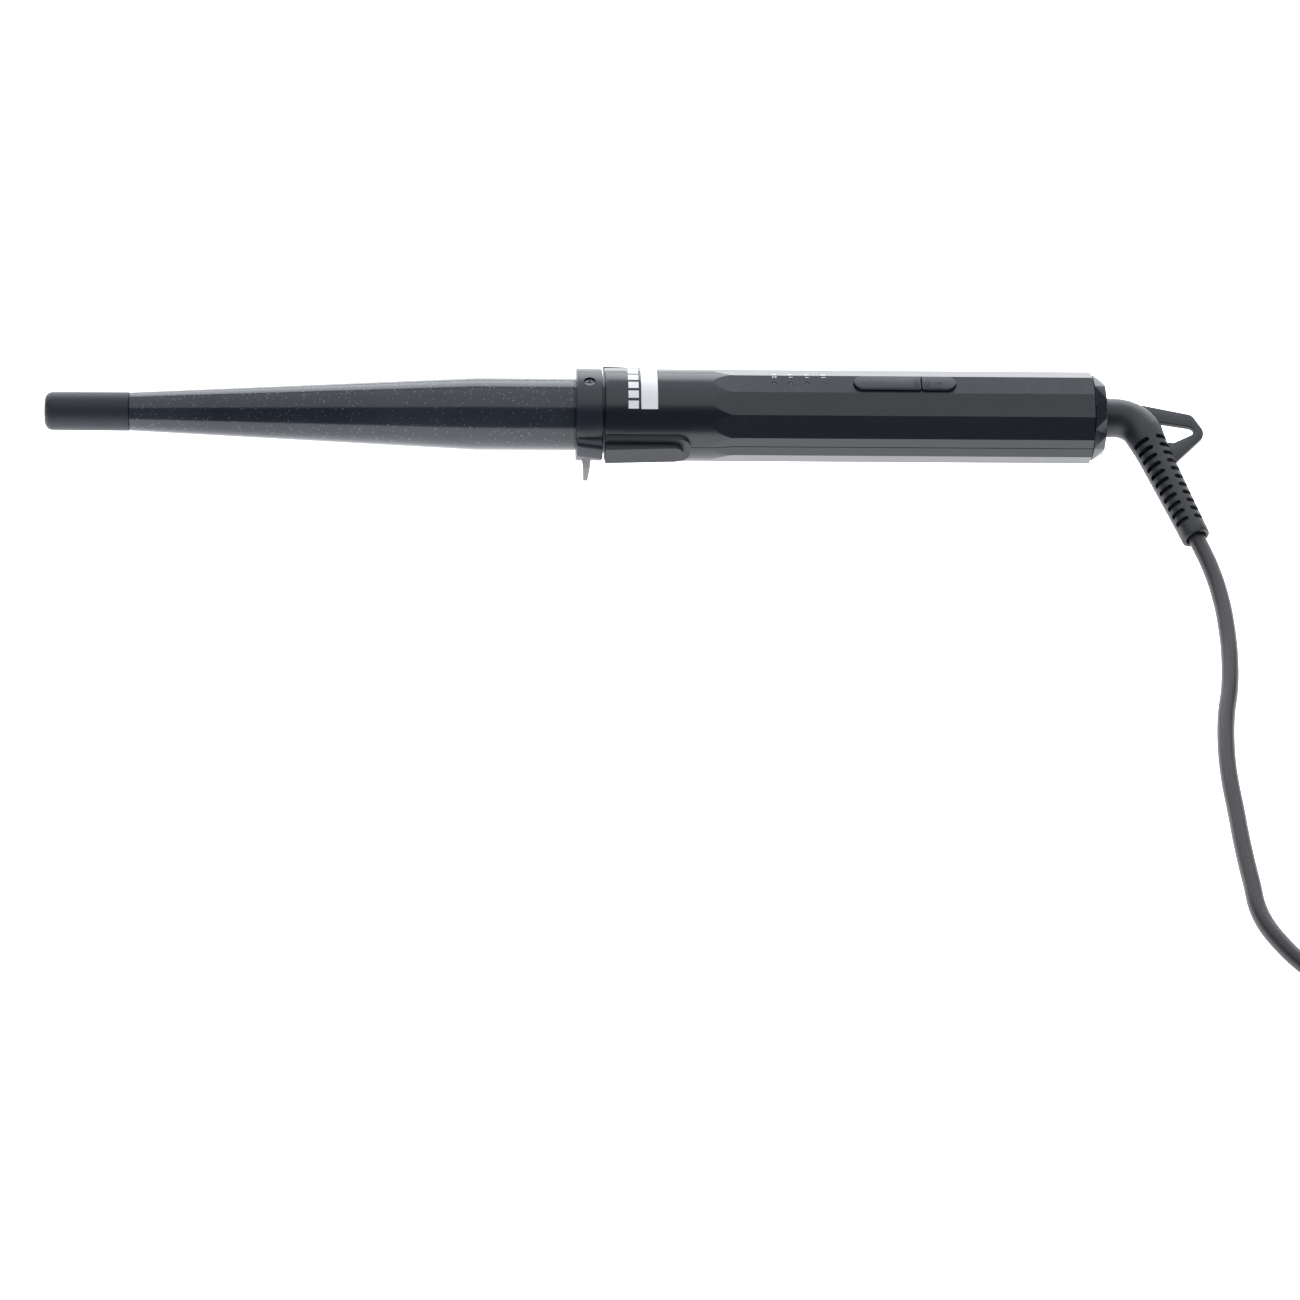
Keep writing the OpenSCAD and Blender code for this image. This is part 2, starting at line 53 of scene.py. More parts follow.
# The wand is drawn in millimetres along X, its tip towards -X and its keys towards +Z,
# with the collar's middle at 0. This leans it on its stand, in metres.
LEAN = (
    Matrix.Translation((-0.013, 0, 0.0214802))
    @ Matrix.Rotation(math.radians(2.0898), 4, "Y")
    @ Matrix.Scale(0.001, 4)
)
FLAT = Matrix.Scale(0.001, 4)

# The guard's bend lies a little below the horizontal, to the wand's near side.
BEND_PLANE = Matrix.Rotation(math.radians(189.5), 4, "X")

TIP_END, TIP_SEAM, CONE_END = -185.35, -156.55, -38.75
HANDLE_START, HANDLE_END = 5.3, 172.5
RAMP_START, RAMP_END = 42.1, 49.6
KEY_SPLIT = 113.25
BEND_X, BEND_REACH, BEND_R, BEND = 188.5, 7.56, 10.5, 71.5
GUARD_WAY = Matrix.Translation((BEND_X, 0, 0)) @ Matrix.Rotation(math.radians(BEND), 4, "Z")
COIL_AT = Vector((260, -262, 0))
PLUG_AT = Vector((297.5, -202, 6.9))


# ---- what a user would change ----


class WandSizes(PropertyGroup):
    """Sizes of the outer pieces."""

    barrel_base: FloatProperty(
        name="Barrel base",
        description="Diameter of the barrel where it enters the collar",
        default=0.025,
        min=0.024,
        max=0.025,
        unit="LENGTH",
    )
    barrel_tip: FloatProperty(
        name="Barrel tip",
        description="Diameter of the barrel where it meets the heat-proof tip",
        default=0.0133,
        min=0.013,
        max=0.014,
        unit="LENGTH",
    )
    collar: FloatProperty(
        name="Collar",
        description="Diameter of the collar and of the handle's round front",
        default=0.0317,
        min=0.0315,
        max=0.0322,
        unit="LENGTH",
    )
    handle_flats: FloatProperty(
        name="Handle flats",
        description="Distance across two opposite flats of the handle",
        default=0.0304,
        min=0.03,
        max=0.0306,
        unit="LENGTH",
    )
    edge: FloatProperty(
        name="Edge rounding",
        description="Rounding along the handle's twelve edges",
        default=0.0003,
        min=0.0001,
        max=0.0006,
        unit="LENGTH",
    )
    cord: FloatProperty(
        name="Cord",
        description="Diameter of the mains cord",
        default=0.0058,
        min=0.0056,
        max=0.006,
        unit="LENGTH",
    )
    guard_rows: IntProperty(
        name="Guard rows",
        description="Number of rows of slots in the cord guard",
        default=11,
        min=8,
        max=11,
    )


class WandColours(PropertyGroup):
    """Colours of the finishes."""

    shell: FloatVectorProperty(
        name="Shell",
        description="Colour of the hard plastic of the handle, the collar and the keys",
        default=(0.007, 0.009, 0.016),
        subtype="COLOR",
    )
    barrel: FloatVectorProperty(
        name="Barrel",
        description="Colour of the barrel's glossy coating",
        default=(0.004, 0.006, 0.012),
        subtype="COLOR",
    )
    rubber: FloatVectorProperty(
        name="Rubber",
        description="Colour of the pads and the cord guard",
        default=(0.013, 0.015, 0.021),
        subtype="COLOR",
    )
    cord: FloatVectorProperty(
        name="Cord",
        description="Colour of the cord's sheath",
        default=(0.022, 0.019, 0.024),
        subtype="COLOR",
    )
    ink: FloatVectorProperty(
        name="Print",
        description="Colour of the printed marks",
        default=(0.9, 0.9, 0.92),
        subtype="COLOR",
    )


class StageLights(PropertyGroup):
    """Strength of the studio lights."""

    overhead: FloatProperty(
        name="Overhead",
        description="Power of the large softbox above the wand",
        default=34.0,
        min=0.0,
        unit="POWER",
    )
    behind: FloatProperty(
        name="Behind",
        description="Power of the long panel behind the wand",
        default=60.0,
        min=0.0,
        unit="POWER",
    )
    fill: FloatProperty(
        name="Fill",
        description="Strength of the even light from all round",
        default=0.12,
        min=0.0,
        subtype="FACTOR",
    )
    floor: FloatProperty(
        name="Floor",
        description="Strength of the light that comes up through the floor",
        default=1.8,
        min=0.0,
        subtype="FACTOR",
    )


# ---- finishes ----


class Wire:
    """A shader socket that takes part in plain sums and feeds other nodes."""

    def __init__(self, tree, socket):
        self.tree, self.socket = tree, socket

    def node(self, kind, inputs, output=0, **settings):
        """Any other node; its inputs are wires or plain values, by name or by number."""
        made = self.tree.nodes.new("ShaderNode" + kind)
        for name, value in settings.items():
            setattr(made, name, value)
        for name, value in inputs.items():
            if isinstance(value, Wire):
                self.tree.links.new(value.socket, made.inputs[name])
            else:
                made.inputs[name].default_value = value
        return Wire(self.tree, made.outputs[output])

    def sum(self, operation, first, second):
        return self.node("Math", {0: first, 1: second}, operation=operation)

    def __add__(self, other):
        return self.sum("ADD", self, other)

    def __radd__(self, other):
        return self.sum("ADD", other, self)

    def __sub__(self, other):
        return self.sum("SUBTRACT", self, other)

    def __rsub__(self, other):
        return self.sum("SUBTRACT", other, self)

    def __mul__(self, other):
        return self.sum("MULTIPLY", self, other)

    def __rmul__(self, other):
        return self.sum("MULTIPLY", other, self)

    def __truediv__(self, other):
        return self.sum("DIVIDE", self, other)

    def __rtruediv__(self, other):
        return self.sum("DIVIDE", other, self)

    def __pow__(self, other):
        return self.sum("POWER", self, other)

    def __rpow__(self, other):
        return self.sum("POWER", other, self)

    def __gt__(self, other):
        return self.sum("GREATER_THAN", self, other)

    def __lt__(self, other):
        return self.sum("LESS_THAN", self, other)


def grain(place, size, detail=2.0, roughness=0.5):
    """Even noise whose features are about this many millimetres across."""
    return place.node(
        "TexNoise",
        {"Vector": place, "Scale": 1000 / size, "Detail": detail, "Roughness": roughness},
    )


def streaks(place, along, size, stretch=30.0):
    """Noise drawn out along one axis, as brushing or drawing through a die leaves it."""
    scale = Vector((1, 1, 1))
    scale["XYZ".index(along)] = 1 / stretch
    drawn = place.node("VectorMath", {0: place, 1: scale}, operation="MULTIPLY")
    return grain(drawn, size, 3.0, 0.6)


def tone(factor, dark, light):
    """A colour that goes from dark to light with a wire."""
    return factor.node(
        "Mix", {0: factor, 6: (*dark, 1), 7: (*light, 1)}, output=2, data_type="RGBA"
    )


def shade(colour, share):
    """The same colour, darker or lighter."""
    return tuple(min(1.0, part * share) for part in colour)


def dents(height, depth, strength=1.0):
    """Bumps this many millimetres deep."""
    return height.node(
        "Bump", {"Strength": strength, "Distance": depth / 1000, "Height": height}, output="Normal"
    )


def finish(name, pattern, **steady):
    """A material: steady numbers on the shader's own sockets, and patterns wired to the rest."""
    made = bpy.data.materials.new("wand_" + name)
    made.use_nodes = True
    tree = made.node_tree
    shader = tree.nodes["Principled BSDF"]
    for socket, value in steady.items():
        shader.inputs[socket.replace("_", " ")].default_value = value
    place = Wire(tree, tree.nodes.new("ShaderNodeTexCoord").outputs["Object"])
    for socket, wire in pattern(place).items():
        tree.links.new(wire.socket, shader.inputs[socket])
    return made


def moulded(name, colour, rough, texture=0.35, depth=0.012, wear=0.05, **steady):
    """Hard plastic or rubber from a spark-eroded mould: fine pits, faint clouds and handling."""

    def pattern(place):
        pits = grain(place, texture, 3.0, 0.65)
        clouds = grain(place, 26.0, 3.0, 0.55)
        smears = grain(place, 7.0, 4.0, 0.6)
        scuffs = streaks(place, "X", 0.8, 12.0) ** 8.0
        return {
            "Base Color": tone(
                clouds * 0.6 + pits * 0.4, shade(colour, 0.78), shade(colour, 1.26)
            ),
            "Roughness": rough - wear + smears * wear * 1.4 + pits * wear * 0.6 - scuffs * wear,
            "Normal": dents(pits + scuffs * 0.4, depth),
        }

    return finish(name, pattern, **steady)


def coated(name, colour):
    """The barrel's baked coating: glossy, with mineral flecks that catch the light."""

    def pattern(place):
        cells = place.node(
            "TexVoronoi", {"Vector": place, "Scale": 2600.0}, output="Color", feature="F1"
        )
        spark = cells.node("SeparateColor", {0: cells}, output=0)
        fleck = (spark > 0.975) * 1.0
        clouds = grain(place, 30.0, 3.0, 0.5)
        orange_peel = grain(place, 1.1, 2.0, 0.5)
        return {
            "Base Color": tone(
                fleck * 0.75 + clouds * 0.25, shade(colour, 0.85), (0.12, 0.14, 0.18)
            ),
            "Metallic": fleck * 0.7,
            "Roughness": 0.14 + clouds * 0.05 + fleck * 0.2,
            "Normal": dents(orange_peel + spark * 0.5, 0.004),
        }

    return finish(
        name, pattern, Coat_Weight=0.12, Coat_Roughness=0.12, Specular_IOR_Level=0.4
    )


def metal(name, colour, rough, along="X", size=0.25, depth=0.004):
    """Drawn or brushed metal with faint staining."""

    def pattern(place):
        lines = streaks(place, along, size)
        stains = grain(place, 5.0, 4.0, 0.6)
        return {
            "Base Color": tone(
                lines * 0.5 + stains * 0.5, shade(colour, 0.72), shade(colour, 1.15)
            ),
            "Roughness": rough - 0.06 + lines * 0.14 + stains * 0.06,
            "Normal": dents(lines, depth),
        }

    return finish(name, pattern, Metallic=1.0)


def lens(name, colour):
    """A small dark lamp lens with a soft ring inside."""

    def pattern(place):
        depth = grain(place, 0.5, 2.0, 0.5)
        return {
            "Base Color": tone(depth, shade(colour, 0.6), shade(colour, 1.6)),
            "Roughness": 0.12 + depth * 0.1,
            "Normal": dents(depth, 0.01),
        }

    return finish(name, pattern, Coat_Weight=0.6, Coat_Roughness=0.05)


def printed(name, colour):
    """Screen-printed ink, slightly thin in places."""

    def pattern(place):
        film = grain(place, 0.3, 3.0, 0.7)
        patches = grain(place, 4.0, 2.0, 0.5)
        return {
            "Base Color": tone(film * 0.5 + patches * 0.5, shade(colour, 0.88), shade(colour, 1.05)),
            "Roughness": 0.42 + film * 0.14,
            "Normal": dents(film, 0.004),
        }

    return finish(name, pattern)


def woven(name, colour):
    """Brushed hook-and-loop tape: a fine weave with a loose nap."""

    def pattern(place):
        parts = place.node("SeparateXYZ", {0: place})
        tree = place.tree
        across = Wire(tree, parts.socket.node.outputs[1])
        warp = place.node("Math", {0: parts * 5200.0}, operation="SINE")
        weft = place.node("Math", {0: across * 5200.0}, operation="SINE")
        nap = grain(place, 0.25, 4.0, 0.75)
        cloth = warp * weft * 0.5 + 0.5
        return {
            "Base Color": tone(cloth * 0.5 + nap * 0.5, shade(colour, 0.55), shade(colour, 1.7)),
            "Roughness": 0.82 + nap * 0.15,
            "Normal": dents(cloth * 0.6 + nap, 0.08),
        }

    return finish(name, pattern, Sheen_Weight=0.3, Sheen_Roughness=0.5)


def mineral(name, colour, rough, speck, depth):
    """Fired ceramic, mica and other pressed mineral."""

    def pattern(place):
        cells = place.node("TexVoronoi", {"Vector": place, "Scale": 1000 / speck})
        dust = grain(place, speck * 2, 4.0, 0.6)
        return {
            "Base Color": tone(cells * 0.5 + dust * 0.5, shade(colour, 0.8), shade(colour, 1.15)),
            "Roughness": rough - 0.08 + dust * 0.16,
            "Normal": dents(dust + cells * 0.3, depth),
        }

    return finish(name, pattern)


def laminate(name):
    """Green circuit board with copper runs under its mask."""

    def pattern(place):
        cells = place.node(
            "TexVoronoi", {"Vector": place, "Scale": 420.0}, distance="MANHATTAN"
        )
        runs = (cells > 0.42) * 1.0
        glass = grain(place, 0.4, 2.0, 0.5)
        return {
            "Base Color": tone(runs * 0.8 + glass * 0.2, (0.010, 0.055, 0.022), (0.03, 0.16, 0.06)),
            "Roughness": 0.34 + glass * 0.12,
            "Normal": dents(runs + glass * 0.2, 0.03),
        }

    return finish(name, pattern)


def make_finishes(colours):
    """Every material, once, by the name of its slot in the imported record."""
    shell, rubber = tuple(colours.shell), tuple(colours.rubber)
    return {
        "shell_plastic": moulded("shell_plastic", shell, 0.26, 0.30, 0.006),
        "collar_plastic": moulded("collar_plastic", shade(shell, 1.3), 0.34, 0.32, 0.008),
        "tip_plastic": moulded(
            "tip_plastic", shade(rubber, 1.5), 0.5, 0.28, 0.014, Specular_IOR_Level=0.3
        ),
        "key_plastic": moulded("key_plastic", shade(shell, 1.15), 0.44, 0.24, 0.010),
        "cap_plastic": moulded("cap_plastic", shade(shell, 1.15), 0.28, 0.30, 0.006),
        "pad_rubber": moulded("pad_rubber", shade(rubber, 1.15), 0.48, 0.26, 0.014),
        "guard_rubber": moulded("guard_rubber", rubber, 0.46, 0.26, 0.012),
        "cord_rubber": moulded("cord_rubber", tuple(colours.cord), 0.44, 0.40, 0.016),
        "plug_plastic": moulded("plug_plastic", rubber, 0.42, 0.30, 0.012),
        "bearing_plastic": moulded("bearing_plastic", (0.62, 0.60, 0.55), 0.4, 0.5, 0.01),
        "part_plastic": moulded("part_plastic", (0.03, 0.03, 0.032), 0.4, 0.3, 0.01),
        "wire_insulation": moulded("wire_insulation", (0.30, 0.32, 0.42), 0.45, 0.4, 0.01),
        "barrel_coating": coated("barrel_coating", tuple(colours.barrel)),
        "steel": metal("steel", (0.56, 0.56, 0.57), 0.3),
        "screw_steel": metal("screw_steel", (0.16, 0.165, 0.18), 0.38, "Z", 0.2),
        "stand_steel": metal("stand_steel", (0.12, 0.118, 0.122), 0.4, "Z", 0.3),
        "brass": metal("brass", (0.72, 0.52, 0.23), 0.3),
        "pin_metal": metal("pin_metal", (0.66, 0.65, 0.62), 0.24, "Y"),
        "resistance_wire": metal("resistance_wire", (0.36, 0.31, 0.27), 0.45),
        "lamp_lens": lens("lamp_lens", (0.006, 0.007, 0.012)),
        "bead_glass": lens("bead_glass", (0.32, 0.07, 0.02)),
        "ceramic": mineral("ceramic", (0.74, 0.70, 0.62), 0.62, 0.5, 0.02),
        "mica": mineral("mica", (0.48, 0.40, 0.24), 0.35, 1.6, 0.02),
        "board": laminate("board"),
        "tie_fabric": woven("tie_fabric", (0.02, 0.02, 0.023)),
        "print": printed("print", tuple(colours.ink)),
    }


def finish_named(name):
    """The finish made here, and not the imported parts' plain material of the same name."""
    return bpy.data.materials["wand_" + name]


# ---- shaping ----


def turned(line, steps=96, closed=True):
    """Spins points of (station, radius) about the wand's axis; a closed line makes a ring."""
    mesh = bmesh.new()
    dots = [mesh.verts.new((x, 0, r)) for x, r in line]
    ends = dots[1:] + dots[:1] if closed else dots[1:]
    edges = [mesh.edges.new(pair) for pair in zip(dots, ends)]
    bmesh.ops.spin(
        mesh,
        geom=dots + edges,
        cent=(0, 0, 0),
        axis=(1, 0, 0),
        angle=math.tau,
        steps=steps,
        use_merge=True,
    )
    bmesh.ops.remove_doubles(mesh, verts=mesh.verts, dist=0.001)
    bmesh.ops.recalc_face_normals(mesh, faces=mesh.faces)
    return mesh


def soften(mesh, width, segments=3, over=30, test=None):
    """Rounds the edges that are sharper than an angle, all of them or those a test picks."""
    picked = [
        edge
        for edge in mesh.edges
        if len(edge.link_faces) == 2
        and edge.calc_face_angle() > math.radians(over)
        and (test is None or test(edge))
    ]
    bmesh.ops.bevel(
        mesh,
        geom=picked,
        offset=width,
        offset_type="OFFSET",
        affect="EDGES",
        segments=segments,
        profile=0.5,
        material=-1,
        clamp_overlap=True,
    )
    return mesh


def middle(edge):
    return (edge.verts[0].co + edge.verts[1].co) / 2


def way(edge):
    return (edge.verts[1].co - edge.verts[0].co).normalized()


def plate(corners, depth, rounds=None, segments=6):
    """A flat outline in X and Y with rounded corners, extruded up Z."""
    mesh = bmesh.new()
    dots = [mesh.verts.new((x, y, 0)) for x, y in corners]
    mesh.faces.new(dots)
    if rounds:
        for radius in sorted(set(rounds), reverse=True):
            if radius:
                bmesh.ops.bevel(
                    mesh,
                    geom=[dot for dot, own in zip(dots, rounds) if own == radius and dot.is_valid],
                    offset=radius,
                    offset_type="OFFSET",
                    affect="VERTICES",
                    segments=segments,
                    profile=0.5,
                    material=-1,
                    clamp_overlap=True,
                )
    grown = bmesh.ops.extrude_face_region(mesh, geom=mesh.faces[:])["geom"]
    bmesh.ops.translate(
        mesh, vec=(0, 0, depth), verts=[g for g in grown if isinstance(g, bmesh.types.BMVert)]
    )
    bmesh.ops.recalc_face_normals(mesh, faces=mesh.faces)
    return mesh


def rod(start, end, radius, steps=32):
    """A plain round rod between two points, for cutting with or for filling."""
    start, end = Vector(start), Vector(end)
    mesh = bmesh.new()
    bmesh.ops.create_cone(
        mesh,
        cap_ends=True,
        segments=steps,
        radius1=radius,
        radius2=radius,
        depth=(end - start).length,
        matrix=Matrix.Translation((start + end) / 2)
        @ (end - start).to_track_quat("Z", "X").to_matrix().to_4x4(),
    )
    return mesh


def block(low, high):
    """A square block between two corners."""
    low, high = Vector(low), Vector(high)
    mesh = bmesh.new()
    bmesh.ops.create_cube(mesh, size=1, matrix=Matrix.Translation((low + high) / 2))
    bmesh.ops.scale(
        mesh,
        vec=high - low,
        space=Matrix.Translation(-(low + high) / 2),
        verts=mesh.verts,
    )
    return mesh


def joined(*parts):
    """Several shapes in one, each left closed on its own."""
    whole = bmesh.new()
    for part in parts:
        data = bpy.data.meshes.new("part")
        part.to_mesh(data)
        part.free()
        whole.from_mesh(data)
        bpy.data.meshes.remove(data)
    return whole


def moved(mesh, matrix):
    bmesh.ops.transform(mesh, matrix=matrix, verts=mesh.verts)
    if matrix.determinant() < 0:
        bmesh.ops.reverse_faces(mesh, faces=mesh.faces)
    return mesh


def combined(body, tool, operation="DIFFERENCE"):
    """What is left when a tool is cut out of a body, or both welded into one."""
    shapes = []
    for part in (body, tool):
        data = bpy.data.meshes.new("shape")
        part.to_mesh(data)
        part.free()
        shape = bpy.data.objects.new("shape", data)
        bpy.context.scene.collection.objects.link(shape)
        shapes.append(shape)
    cut = shapes[0].modifiers.new("cut", "BOOLEAN")
    cut.operation, cut.solver, cut.object = operation, "EXACT", shapes[1]
    result = bmesh.new()
    result.from_object(shapes[0], bpy.context.evaluated_depsgraph_get())
    for shape in shapes:
        data = shape.data
        bpy.data.objects.remove(shape)
        bpy.data.meshes.remove(data)
    bmesh.ops.remove_doubles(result, verts=result.verts, dist=0.0005)
    bmesh.ops.dissolve_degenerate(result, dist=0.0005, edges=result.edges)
    return result


def delivered(mesh, name, body, slot, *nodes, place=LEAN, sharp=22, look=None):
    """Puts a finished shape in its place, and hands it to the frame in its finish."""
    bmesh.ops.transform(mesh, matrix=place, verts=mesh.verts)
    data = bpy.data.meshes.new(name)
    mesh.to_mesh(data)
    mesh.free()
    data.shade_smooth()
    data.set_sharp_from_angle(angle=math.radians(sharp))
    piece = bpy.data.objects.new(name, data)
    bpy.context.scene.collection.objects.link(piece)
    data.materials.append(finish_named(look or slot))
    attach(piece, body)
    if nodes:
        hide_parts(*nodes)
    return piece


# ---- camera and cord ----


class WAND_OT_camera(Operator):
    """Sets the camera above and in front of the wand"""

    bl_idname = "wand.camera"
    bl_label = "Camera"

    def execute(self, context):
        data = bpy.data.cameras.new("Camera")
        data.sensor_width, data.lens = 36, 129.06
        camera = bpy.data.objects.new("Camera", data)
        context.scene.collection.objects.link(camera)
        turn, rise = math.radians(-1.6), math.radians(47.2)
        ahead = Vector(
            (-math.sin(turn) * math.cos(rise), math.cos(turn) * math.cos(rise), -math.sin(rise))
        )
        right = Vector((math.cos(turn), math.sin(turn), 0))
        above = right.cross(ahead)
        camera.matrix_world = Matrix.Translation((-0.0239, -1.1445, 1.1385)) @ Matrix(
            (
                (right.x, above.x, -ahead.x, 0),
                (right.y, above.y, -ahead.y, 0),
                (right.z, above.z, -ahead.z, 0),
                (0, 0, 0, 1),
            )
        )
        context.scene.camera = camera
        return {"FINISHED"}


def coil_turns():
    """Three turns inwards on the table, three outwards on top of them, and half a turn more."""
    radii = [40.4, 34.6, 28.8, 28.8, 34.6, 40.4, 37.5]
    heights = [2.9, 2.9, 2.9, 8.7, 8.7, 8.7, 13.7]
    points = []
    for step in range(1, 156):
        turns = step / 24
        whole = min(int(turns), 6)
        share = max(0.0, (turns - whole - 0.8) / 0.2) if whole < 6 else 0.0
        share = share * share * (3 - 2 * share)
        after = min(whole + 1, 6)
        radius = radii[whole] + (radii[after] - radii[whole]) * share
        height = heights[whole] + (heights[after] - heights[whole]) * share
        angle = math.pi + math.tau * turns
        points.append(COIL_AT + Vector((radius * math.cos(angle), radius * math.sin(angle), height)))
    return points


class WAND_OT_cord(Operator):
    """Lays the mains cord from the guard to a tied coil, and on to its plug"""

    bl_idname = "wand.cord"
    bl_label = "Cord"

    def execute(self, context):
        leaves = BEND_PLANE @ GUARD_WAY
        exit_at = LEAN @ (leaves @ Vector((53, 0, 0)))
        inside = LEAN @ (leaves @ Vector((49.5, 0, 0)))
        near = [
            Vector(point)
            for point in (
                (195.5, -62.5, 4.3),
                (197.5, -76, 3.4),
                (198, -89, 3),
                (197.5, -102.5, 2.9),
                (196, -115.5, 2.9),
                (193.5, -128, 2.9),
                (192, -141, 2.9),
                (191.5, -154, 2.9),
                (192, -169, 2.9),
                (192.5, -184, 2.9),
                (193.5, -198.5, 2.9),
                (195, -213, 2.9),
                (201, -226, 2.9),
                (209.5, -237.5, 2.9),
                (216.5, -248.5, 2.9),
                (219.6, -262, 2.9),
            )
        ]
        tail = [
            Vector(point)
            for point in (
                (297.5, -262, 13.7),
                (297.5, -252, 14.3),
                (297.5, -242, 14.1),
                (297.5, -232, 12.6),
                (297.5, -222, 9.9),
                (297.5, -212, 7.7),
                (297.5, -202, 6.9),
            )
        ]
        route = [inside, exit_at] + [FLAT @ point for point in near + coil_turns() + tail]
        data = bpy.data.curves.new("mains_cord", "CURVE")
        data.dimensions = "3D"
        data.bevel_depth = context.scene.wand_sizes.cord / 2
        data.bevel_resolution = 6
        data.resolution_u = 5
        data.use_fill_caps = True
        line = data.splines.new("BEZIER")
        line.bezier_points.add(len(route) - 1)
        for dot, place in zip(line.bezier_points, route):
            dot.co = place
            dot.handle_left_type = dot.handle_right_type = "AUTO"
        cord = bpy.data.objects.new("mains_cord", data)
        context.scene.collection.objects.link(cord)
        data.materials.append(finish_named("cord_rubber"))
        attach(cord, "swivel")
        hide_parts("cord", "cord_coil", "cord_tail")
        extras = [make_tie(), make_plug(), make_pins()]
        return {"FINISHED"}


def make_tie():
    """A hook-and-loop strap round the whole bundle."""
    band = plate([(24.9, 0), (44.3, 0), (44.3, 12.6), (24.9, 12.6)], 8, [3.4] * 4, 6)
    hole = plate([(25.9, 1), (43.3, 1), (43.3, 11.6), (25.9, 11.6)], 10, [2.5] * 4, 6)
    moved(hole, Matrix.Translation((0, 0, -1)))
    strap = combined(band, hole)
    moved(strap, Matrix.Translation((0, 4, 0)) @ Matrix.Rotation(math.pi / 2, 4, "X"))
    soften(strap, 0.25, 2, 50)
    moved(strap, Matrix.Translation(COIL_AT) @ Matrix.Rotation(math.radians(120), 4, "Z"))
    return delivered(strap, "coil_tie", "swivel", "tie_fabric", "cord_tie", place=FLAT)


def make_plug():
    """The moulded two-pin plug with its grommet and finger grooves."""
    body = plate(
        [(-7, 12), (7, 12), (12.8, 24), (12.8, 38), (11, 47), (-11, 47), (-12.8, 38), (-12.8, 24)],
        13.6,
    )
    moved(body, Matrix.Translation((0, 0, -6.8)))
    soften(body, 3.6, 6, 20, lambda edge: middle(edge).y < 46.5)
    soften(body, 0.6, 3, 60)
    for i in range(4):
        for side in (-1, 1):
            y, z = 22 + 3.2 * i, side * 9.1
            body = combined(body, rod((-9.5, y, z), (9.5, y, z), 2.9))
    grommet = turned(
        [(-0.5, 3.2), (0, 3.9), (2.6, 4.3), (3.0, 3.7), (4.0, 3.8), (4.4, 4.7), (6.8, 5.0),
         (7.2, 4.3), (8.2, 4.4), (8.6, 5.2), (12.4, 5.6), (12.4, 3.0), (-0.5, 3.0)],
        64,
    )
    moved(grommet, Matrix.Rotation(math.pi / 2, 4, "Z"))
    plug = joined(body, grommet)
    moved(plug, Matrix.Translation(PLUG_AT))
    return delivered(plug, "plug_moulding", "swivel", "plug_plastic", "plug_body", place=FLAT)


def make_pins():
    """The plug's two round pins with blunt noses."""
    pins = []
    for side in (-9.3, 9.3):
        pin = turned(
            [(0, 0), (0, 2), (17.2, 2), (18.2, 1.82), (18.8, 1.3), (19, 0.6), (19, 0)], 48, False
        )
        pins.append(
            moved(
                pin,
                Matrix.Translation(PLUG_AT + Vector((side, 47, 0)))
                @ Matrix.Rotation(math.pi / 2, 4, "Z"),
            )
        )
    return delivered(joined(*pins), "plug_contacts", "swivel", "pin_metal", "plug_pins", place=FLAT)


# ---- barrel ----


class WAND_OT_barrel(Operator):
    """Turns the coated barrel and its heat-proof tip"""

    bl_idname = "wand.barrel"
    bl_label = "Barrel and tip"

    def execute(self, context):
        sizes = context.scene.wand_sizes
        base, nose = sizes.barrel_base * 500, sizes.barrel_tip * 500
        step = (CONE_END - TIP_SEAM) / 12
        cone = [
            (TIP_SEAM + step * i, nose + (base - nose) * i / 12) for i in range(1, 13)
        ]
        barrel = turned(
            [(TIP_SEAM + 0.05, nose - 0.35), (TIP_SEAM + 0.05, nose - 0.08), (TIP_SEAM + 0.13, nose)]
            + cone
            + [(-20, base), (-5.1, base), (-4.95, base - 0.15), (-4.95, base - 0.35), (2.9, base - 0.35)]
            + [(2.9, base - 1.1), (CONE_END, base - 1.1), (TIP_SEAM + 10, nose - 0.6)]
            + [(TIP_SEAM + 10, 5.27), (TIP_SEAM + 0.05, 5.27)],
            128,
        )
        delivered(barrel, "barrel_tube", "wand", "barrel_coating", "barrel")
        rounding = [
            (TIP_END + 2.6 * (1 - math.cos(a)), nose - 2.7 + 2.6 * math.sin(a))
            for a in (math.radians(7.5 * k) for k in range(13))
        ]
        tip = turned(
            [(TIP_END, 0)]
            + rounding
            + [(TIP_SEAM - 12, nose - 0.03), (TIP_SEAM - 0.32, nose), (TIP_SEAM - 0.2, nose - 0.1)]
            + [(TIP_SEAM - 0.2, 5.2), (TIP_SEAM + 8, 5.2), (TIP_SEAM + 8, 1.55)]
            + [(TIP_SEAM - 4, 1.55), (TIP_SEAM - 4, 0)],
            96,
            False,
        )
        delivered(tip, "tip_moulding", "wand", "tip_plastic", "tip_cap")
        return {"FINISHED"}


# ---- collar and stand ----


def side_block(x0, x1, half, out_front, out_back, corner, edge):
    """A raised side block at the wand's far side, its outer face sloping along the wand."""
    mesh = block((x0, 11.5, -half), (x1, out_back, half))
    for vert in mesh.verts:
        if vert.co.y > 12 and vert.co.x < (x0 + x1) / 2:
            vert.co.y = out_front
    soften(mesh, corner, 5, 60, lambda e: abs(way(e).x) > 0.9 and middle(e).y > 14)
    soften(mesh, edge, 3, 50, lambda e: middle(e).y > 14)
    return mesh


def mirrored(make):
    """The same shape on the far side and on the near side."""
    return make(), moved(make(), Matrix.Scale(-1, 4, (0, 1, 0)))


